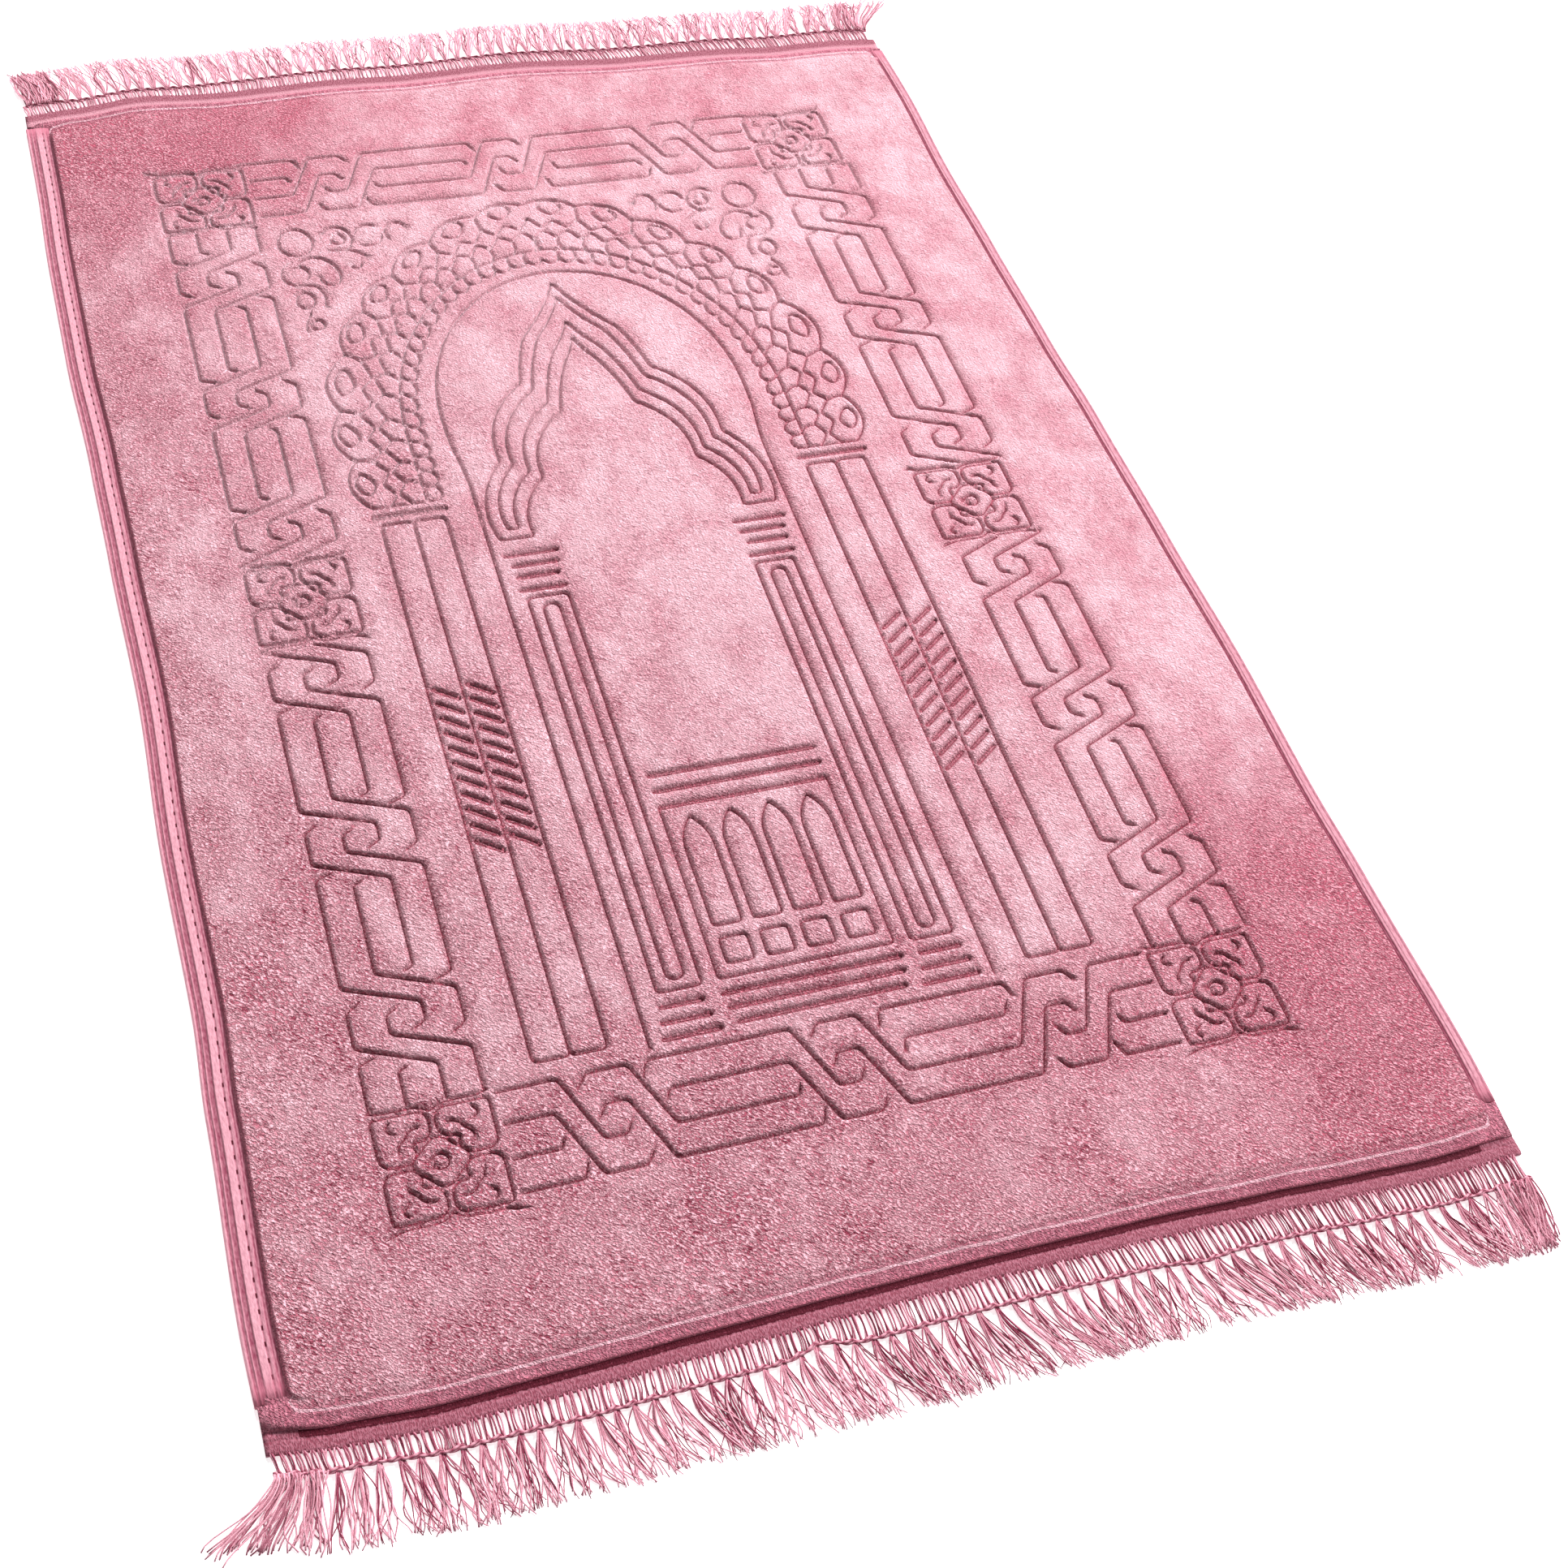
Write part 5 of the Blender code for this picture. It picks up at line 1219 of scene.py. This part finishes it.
def make_yarns(end, name, shader):
    """One fringe's threads and yarns as one mesh: open row, twined row, bunches and corner tufts."""
    rng = np.random.default_rng(YARN_SEED + end)
    left, right = fringe_ends(end, CORNER_INWARD + 2.0)
    pitch = (right - left - 2 * CORNER_ZONE) / BUNCHES
    middles = left + CORNER_ZONE + (np.arange(BUNCHES) + 0.5) * pitch + rng.normal(0.0, 0.5, BUNCHES)
    bundle = Bundle()
    open_row(bundle, rng, end, left, right, pitch)
    twined_row(bundle, end, left, right, middles[0], pitch)
    loose_yarns(bundle, rng, end, middles)
    for side, edge in ((-1, left), (1, right)):
        corner_tuft(bundle, rng, end, side, edge)
    made = mesh_object(name, np.concatenate(bundle.points), bundle.faces, shader)
    add_attribute(made, "shade", np.concatenate(bundle.shades))
    return made


# ---------------------------------------------------------------- materials
class Nodes:
    """A material's node tree, with a short way to add and join nodes."""

    def __init__(self, name):
        self.material = bpy.data.materials.new(name)
        self.material.use_nodes = True
        self.tree = self.material.node_tree
        self.shader = self.tree.nodes["Principled BSDF"]

    def put(self, socket, value):
        """A constant, a colour or another node's output on a socket."""
        if isinstance(value, bpy.types.NodeSocket):
            self.tree.links.new(value, socket)
        elif isinstance(value, tuple) and socket.type == "RGBA":
            socket.default_value = (*value, 1.0)
        else:
            socket.default_value = value

    def add(self, kind, sockets=None, **settings):
        """A new node with its settings and what is on its sockets."""
        node = self.tree.nodes.new(kind)
        for key, value in settings.items():
            setattr(node, key, value)
        for key, value in (sockets or {}).items():
            self.put(node.inputs[key], value)
        return node

    def maths(self, operation, first, second, clamp=False):
        """One sum of two values, or of one if the operation takes no more."""
        values = {0: first} if second is None else {0: first, 1: second}
        return self.add("ShaderNodeMath", values, operation=operation, use_clamp=clamp).outputs[0]

    def plus(self, first, second, clamp=False):
        return self.maths("ADD", first, second, clamp)

    def less(self, first, second):
        return self.maths("SUBTRACT", first, second)

    def times(self, first, second, clamp=False):
        return self.maths("MULTIPLY", first, second, clamp)

    def within(self, value, middle, half):
        """1 where the value is within half of the middle, and 0 elsewhere."""
        return self.add("ShaderNodeMath", {0: value, 1: middle, 2: half}, operation="COMPARE").outputs[0]

    def mixed(self, share, first, second):
        """The first colour at share 0, and the second at share 1."""
        return self.add("ShaderNodeMix", {0: share, 6: first, 7: second}, data_type="RGBA").outputs[2]

    def tinted(self, colour, tint, where, strength):
        """The colour with a tint laid over it where a value says, at that strength."""
        return self.mixed(self.times(where, strength), colour, tint)

    def ramp(self, value, low, high):
        """0 at low and 1 at high, easing at both ends, held outside."""
        sockets = {"Value": value, "From Min": low, "From Max": high}
        return self.add("ShaderNodeMapRange", sockets, interpolation_type="SMOOTHSTEP").outputs["Result"]

    def uneven(self, noise, strength):
        """A noise's rise and fall about nothing, at that strength."""
        return self.times(self.less(noise, 0.5), strength)

    def place(self, scale=(1.0, 1.0, 1.0), turn=0.0, kind="POINT"):
        """The object's own coordinates, scaled and turned about the upright axis."""
        coordinates = self.add("ShaderNodeTexCoord").outputs["Object"]
        sockets = {"Vector": coordinates, "Scale": scale, "Rotation": (0.0, 0.0, turn)}
        return self.add("ShaderNodeMapping", sockets, vector_type=kind).outputs["Vector"]

    def slanted(self, length, turn):
        """The object's own coordinates, drawn out along a line turned that far from X."""
        return self.place((length, 1.0, 1.0), turn, "TEXTURE")

    def noise(self, vector, scale, detail=2.0, roughness=0.5):
        """Smooth noise between 0 and 1, with its scale in waves a metre."""
        sockets = {"Vector": vector, "Scale": scale, "Detail": detail, "Roughness": roughness}
        return self.add("ShaderNodeTexNoise", sockets).outputs["Fac"]

    def attribute(self, name):
        """A number that the mesh carries at its points."""
        return self.add("ShaderNodeAttribute", attribute_name=name).outputs["Fac"]

    def bump(self, height, strength, distance):
        """Fine relief on the surface, from a height between 0 and 1."""
        sockets = {"Strength": strength, "Distance": distance, "Height": height}
        self.put(self.shader.inputs["Normal"], self.add("ShaderNodeBump", sockets).outputs["Normal"])

    def finish(self, colour, **sockets):
        """The shader's base colour, and constants on its other sockets (names with _ for spaces)."""
        self.put(self.shader.inputs["Base Color"], colour)
        for name, value in sockets.items():
            self.put(self.shader.inputs[name.replace("_", " ")], value)
        return self.material

    def cloth(self, colour, sheen, tint):
        """A matt cloth finish of that colour."""
        sheens = {"Sheen_Weight": sheen, "Sheen_Roughness": 0.55, "Sheen_Tint": tint}
        return self.finish(colour, Roughness=0.92, Specular_IOR_Level=0.15, **sheens)


PALE, DEEP = (0.93, 0.545, 0.625), (0.77, 0.275, 0.355)
SHADOW_PINK, LIT_PINK = (0.36, 0.04, 0.085), (1.0, 0.56, 0.65)
# The pressed lines' colour is partly their own and partly painted shade; the fold's and the ridge's colours
# are painted highlights.
PRESSED_SHADE_PINK, FOLD_HIGHLIGHT_PINK, RIDGE_HIGHLIGHT_PINK = (0.40, 0.035, 0.075), (1.0, 0.30, 0.42), (1.0, 0.56, 0.65)
TAPE_LIGHT, TAPE_DARK = (0.75, 0.365, 0.44), (0.25, 0.045, 0.085)
MAUVE, MAUVE_LIGHT = (0.50, 0.135, 0.20), (0.68, 0.25, 0.33)
# The dark wine colours the tape's stitches and the painted shadow stripe on the near header, which is
# speckled with pink.
STITCH_AND_SHADOW_WINE, SHADOW_SPECK = (0.08, 0.003, 0.013), (0.30, 0.06, 0.10)
# The first colour below is a painted highlight laid in the pressed lines towards the far left.
LINE_HIGHLIGHT, YARN_PALE, YARN_DARK = (1.0, 0.70, 0.78), (0.86, 0.44, 0.53), (0.25, 0.03, 0.07)
HEADER_DARK, HEADER_LIGHT = (0.24, 0.05, 0.08), (0.40, 0.14, 0.19)
CLOTH_SHEEN, CLOTH_TINT, PILE_SHEEN, PILE_TINT = 0.1, (1.0, 0.85, 0.9), 0.04, (1.0, 0.8, 0.85)
# How strongly each mark shows in the plush. The pressed lines' mark is partly painted shade; the marks beside
# and in the lines, on the ridge and on the fold are painted highlights.
CLOUDS, LINE_DARKENING, GRAIN_DARK, GRAIN_LIT, DASH, RIM_HIGHLIGHT = 3.2, 0.5, 0.56, 0.58, 0.9, 0.50
PRESSED_SHADE, LINE_HIGHLIGHT_SHARE, EDGE_TINT, RIDGE_HIGHLIGHT, FOLD_HIGHLIGHT = 0.82, 0.8, 0.55, 0.85, 0.9
PILE_BUMP, WEAVE_BUMP, YARN_BUMP = 0.0025, 0.0006, 0.0005  # metres
# The near header's painted fold shadow: its middle and half width out from the fold, and its middle and reach
# across.
SHADOW_STRIPE_MIDDLE, SHADOW_STRIPE_HALF, SHADOW_STRIPE_X, SHADOW_STRIPE_REACH = 1.9, 2.1, 3.5, 333.0  # the stripe, out from the fold and across


def plush():
    """Short plush: painted sheen that changes over the rug, cloudy patches of brushed pile, grain and short
    slanting dark dashes, deeper colour in the pressed lines that is partly painted shade, and painted
    highlights beside and in them;
    beyond the pile's edge the flat ribbed band, with a painted highlight on its ridge and one on the fold."""
    nodes = Nodes("plush")
    clouds = nodes.noise(nodes.place((1.0, 0.75, 1.0)), 24.0, 6.0, 0.74)
    # painted sheen of the pile by place, with cloudy patches of tone over it
    share = nodes.plus(nodes.attribute("painted_sheen"), nodes.uneven(clouds, CLOUDS))
    share = nodes.less(share, nodes.times(nodes.attribute("near_line"), LINE_DARKENING))
    share = nodes.maths("MINIMUM", nodes.maths("MAXIMUM", share, -0.4), 1.0)
    colour = nodes.mixed(share, DEEP, PALE)
    colour.node.clamp_factor = False
    rough = nodes.times(nodes.attribute("nap"), nodes.less(1.25, nodes.times(share, 0.75)))
    grain = nodes.ramp(nodes.noise(nodes.slanted(1.8, -0.80), 930.0, 2.0, 0.6), 0.40, 0.60)
    dark = nodes.tinted(colour, SHADOW_PINK, rough, GRAIN_DARK)
    light = nodes.tinted(colour, LIT_PINK, rough, GRAIN_LIT)
    colour = nodes.mixed(grain, light, dark)
    dashes = nodes.ramp(nodes.noise(nodes.slanted(3.0, -0.65), 820.0, 2.0, 0.6), 0.54, 0.64)
    where = nodes.ramp(nodes.noise(nodes.place(), 60.0, 3.0), 0.36, 0.60)
    dashed = nodes.times(nodes.times(nodes.times(dashes, rough), where), DASH, True)
    colour = nodes.mixed(dashed, colour, SHADOW_PINK)
    # painted highlight beside the pressed lines
    colour = nodes.tinted(colour, LIT_PINK, nodes.attribute("rim_highlight"), RIM_HIGHLIGHT)
    # painted shade, with some of the pressed pile's own deeper colour, in the pressed lines
    colour = nodes.tinted(colour, PRESSED_SHADE_PINK, nodes.attribute("pressed"), PRESSED_SHADE)
    # painted highlight in the cores of the pressed lines towards the far left
    colour = nodes.tinted(colour, LINE_HIGHLIGHT, nodes.attribute("lit_line"), LINE_HIGHLIGHT_SHARE)
    ribs = nodes.ramp(nodes.noise(nodes.place((1.0, 0.16, 1.0)), 800.0, 1.0), 0.35, 0.65)
    band = nodes.mixed(ribs, MAUVE, MAUVE_LIGHT)
    inside = nodes.plus(nodes.attribute("from_end"), nodes.uneven(nodes.noise(nodes.place(), 70.0, 3.0), 2.4))
    colour = nodes.tinted(colour, MAUVE, nodes.less(1.0, nodes.ramp(inside, 9.0, 14.0)), EDGE_TINT)
    colour = nodes.mixed(nodes.attribute("pile"), band, colour)
    # painted highlight along the band's ridge
    colour = nodes.tinted(colour, RIDGE_HIGHLIGHT_PINK, nodes.within(inside, RIDGE_INSIDE + 0.6, 0.9), RIDGE_HIGHLIGHT)
    # painted highlight on the fold's edge, whose wall faces away from the lamps
    colour = nodes.tinted(colour, FOLD_HIGHLIGHT_PINK, nodes.less(1.0, nodes.ramp(inside, 0.8, 2.2)), FOLD_HIGHLIGHT)
    height = nodes.plus(nodes.times(grain, -0.7), nodes.times(dashes, -0.7))
    height = nodes.times(height, nodes.plus(rough, 0.2))
    nodes.bump(nodes.plus(height, nodes.times(ribs, 0.12)), 1.0, PILE_BUMP)
    return nodes.cloth(colour, PILE_SHEEN, PILE_TINT)


def tape():
    """Woven tape: lengthwise strips of light and dark, partly its own stripes and partly painted light and
    shade on its ridges and hollows, with a slanting weave, a row of stitches where a sine along the tape is
    high, and darker ends."""
    nodes = Nodes("tape")
    weave = nodes.noise(nodes.place((1.0, 0.35, 1.0), 0.5), 900.0, 2.0)
    # the strips' shade: partly the tape's stripes, partly painted light and shade
    shade = nodes.plus(nodes.attribute("shade"), nodes.uneven(weave, 0.9), True)
    colour = nodes.mixed(shade, TAPE_DARK, TAPE_LIGHT)
    turn = nodes.times(nodes.attribute("along"), 2.0 * math.pi / STITCH_PITCH)
    dots = nodes.ramp(nodes.maths("SINE", turn, None), 0.3, 0.8)
    row = nodes.within(nodes.attribute("inward"), STITCH_AT, STITCH_HALF)
    colour = nodes.tinted(colour, STITCH_AND_SHADOW_WINE, dots, row)
    colour = nodes.tinted(colour, MAUVE, nodes.attribute("fade"), 0.8)
    nodes.bump(weave, 0.5, WEAVE_BUMP)
    return nodes.cloth(colour, CLOTH_SHEEN, CLOTH_TINT)


def woven(fold_shadow):
    """Ribbed header; the near one starts with a broad wine stripe, speckled with pink, that is painted shadow
    cast by the mat's fold, and the far one with a pale strip."""
    nodes = Nodes("woven_header" if fold_shadow else "woven_header_plain")
    out = nodes.attribute("outward")
    ribs = nodes.ramp(nodes.noise(nodes.place((1.0, 0.4, 1.0)), 1200.0, 2.0), 0.35, 0.65)
    colour = nodes.mixed(ribs, HEADER_DARK, HEADER_LIGHT)
    if fold_shadow:
        speck = nodes.ramp(nodes.noise(nodes.place((0.6, 1.0, 1.0)), 900.0, 1.0), 0.60, 0.72)
        dark = nodes.tinted(STITCH_AND_SHADOW_WINE, SHADOW_SPECK, speck, 0.5)
        out = nodes.plus(out, nodes.uneven(nodes.noise(nodes.place(), 500.0, 2.0), 1.6))
        inside = nodes.within(nodes.attribute("along"), SHADOW_STRIPE_X, SHADOW_STRIPE_REACH)
        # painted shadow of the fold, as a dark wine stripe
        colour = nodes.tinted(colour, dark, nodes.within(out, SHADOW_STRIPE_MIDDLE, SHADOW_STRIPE_HALF), inside)
    else:
        colour = nodes.tinted(colour, TAPE_LIGHT, nodes.less(1.0, nodes.ramp(out, 5.0, 7.5)), 0.6)
    nodes.bump(ribs, 0.5, WEAVE_BUMP)
    return nodes.cloth(colour, CLOTH_SHEEN, CLOTH_TINT)


def yarn():
    """Soft cotton yarn, each one a little lighter or darker."""
    nodes = Nodes("yarn")
    fine = nodes.noise(nodes.place(), 1300.0, 1.0)
    shade = nodes.plus(nodes.attribute("shade"), nodes.uneven(fine, 0.5), True)
    colour = nodes.mixed(shade, YARN_PALE, YARN_DARK)
    nodes.bump(fine, 0.4, YARN_BUMP)
    return nodes.cloth(colour, CLOTH_SHEEN, CLOTH_TINT)


def white_floor():
    """A pale floor that glows a little, as a lit white backdrop does."""
    nodes = Nodes("white_floor")
    glow = {"Emission_Color": (1.0, 1.0, 1.0), "Emission_Strength": FLOOR_GLOW}
    return nodes.finish((0.93, 0.93, 0.93), Roughness=0.9, **glow)


# ---------------------------------------------------------------- stage, light and camera
FLOOR_HALF, FLOOR_GLOW, ROOM_LIGHT = 8.0, 0.62, 0.30  # metres, and strengths
LAMP_REACH, LAMP_HEIGHT, LAMP_SIZE, LAMP_POWER = 7.9, 5.6, 1.6, 1000.0
LAMP_TURNS = (("lamp_right", 20.0, 1.35), ("lamp_beyond", 86.0, 0.75))  # from the right towards the far end
# The photo's view, solved from the six border medallions: its place from the border's middle in
# metres, and the way its right, its upper side and its back point.
CAMERA_LENS, SENSOR_WIDTH, CAMERA_PLACE = 51.07, 36.0, (-0.33979, -0.98719, 1.06570)
CAMERA_AXES = ((0.94758, -0.30153, 0.10567), (0.17497, 0.76644, 0.61803), (-0.26735, -0.56715, 0.77902))


def make_stage():
    """One large square of floor under the rug."""
    corners = rectangle(-FLOOR_HALF, FLOOR_HALF, -FLOOR_HALF, FLOOR_HALF)
    data = bpy.data.meshes.new("floor")
    data.from_pydata([(x, y, 0) for x, y in corners], [], [(0, 1, 2, 3)])
    data.materials.append(white_floor())
    floor = bpy.data.objects.new("floor", data)
    bpy.context.scene.collection.objects.link(floor)


def aimed(place, target):
    """A turn that looks from a place to a target."""
    return (Vector(target) - Vector(place)).to_track_quat("-Z", "Y").to_euler()


def make_light():
    """Two soft lamps, one to the right and one beyond the far end, and white light all round."""
    scene = bpy.context.scene
    world = bpy.data.worlds.new("white_room")
    world.use_nodes = True
    background = world.node_tree.nodes["Background"]
    background.inputs["Color"].default_value = (1.0, 1.0, 1.0, 1.0)
    background.inputs["Strength"].default_value = ROOM_LIGHT
    scene.world = world
    for name, turn, share in LAMP_TURNS:
        lamp = bpy.data.lights.new(name, "AREA")
        lamp.size = LAMP_SIZE
        lamp.energy = LAMP_POWER * share
        holder = bpy.data.objects.new(name, lamp)
        turn = math.radians(turn)
        holder.location = (LAMP_REACH * math.cos(turn), LAMP_REACH * math.sin(turn), LAMP_HEIGHT)
        holder.rotation_euler = aimed(holder.location, (0.0, 0.0, 0.0))
        scene.collection.objects.link(holder)


def make_camera():
    """The photo's view."""
    camera = bpy.data.cameras.new("camera")
    camera.lens, camera.sensor_width = CAMERA_LENS, SENSOR_WIDTH
    camera.clip_start, camera.clip_end = 0.05, 30.0
    holder = bpy.data.objects.new("camera", camera)
    turn = Matrix(CAMERA_AXES).transposed().to_4x4()
    x, y, z = CAMERA_PLACE
    place = Vector((x + PATTERN_X * MM, y + PATTERN_Y * MM, z + PILE_TOP * MM))
    holder.matrix_world = Matrix.Translation(place) @ turn
    bpy.context.scene.collection.objects.link(holder)
    bpy.context.scene.camera = holder


# ---------------------------------------------------------------- the rug
def main():
    """The rug's seven pieces, with the model's parts that they take the place of hidden, and the room round
    them.
    """
    bpy.context.scene.view_settings.view_transform = "Standard"
    yarns_shader, tape_shader = yarn(), tape()
    mat = make_mat(plush())
    bindings = [
        make_binding(-1, "binding_left", tape_shader),
        make_binding(1, "binding_right", tape_shader),
    ]
    headers = [make_header(-1, "header_near", woven(True)), make_header(1, "header_far", woven(False))]
    loose = [make_yarns(-1, "yarns_near", yarns_shader), make_yarns(1, "yarns_far", yarns_shader)]
    for piece in [mat] + bindings + headers + loose:
        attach(piece, "root")
    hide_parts("rug_mat")
    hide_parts("side_binding_left")
    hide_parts("side_binding_right")
    for piece, node in zip(headers + loose, ("fringe_near", "fringe_far") * 2):
        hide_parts(node)
    make_stage()
    make_light()
    make_camera()


main()
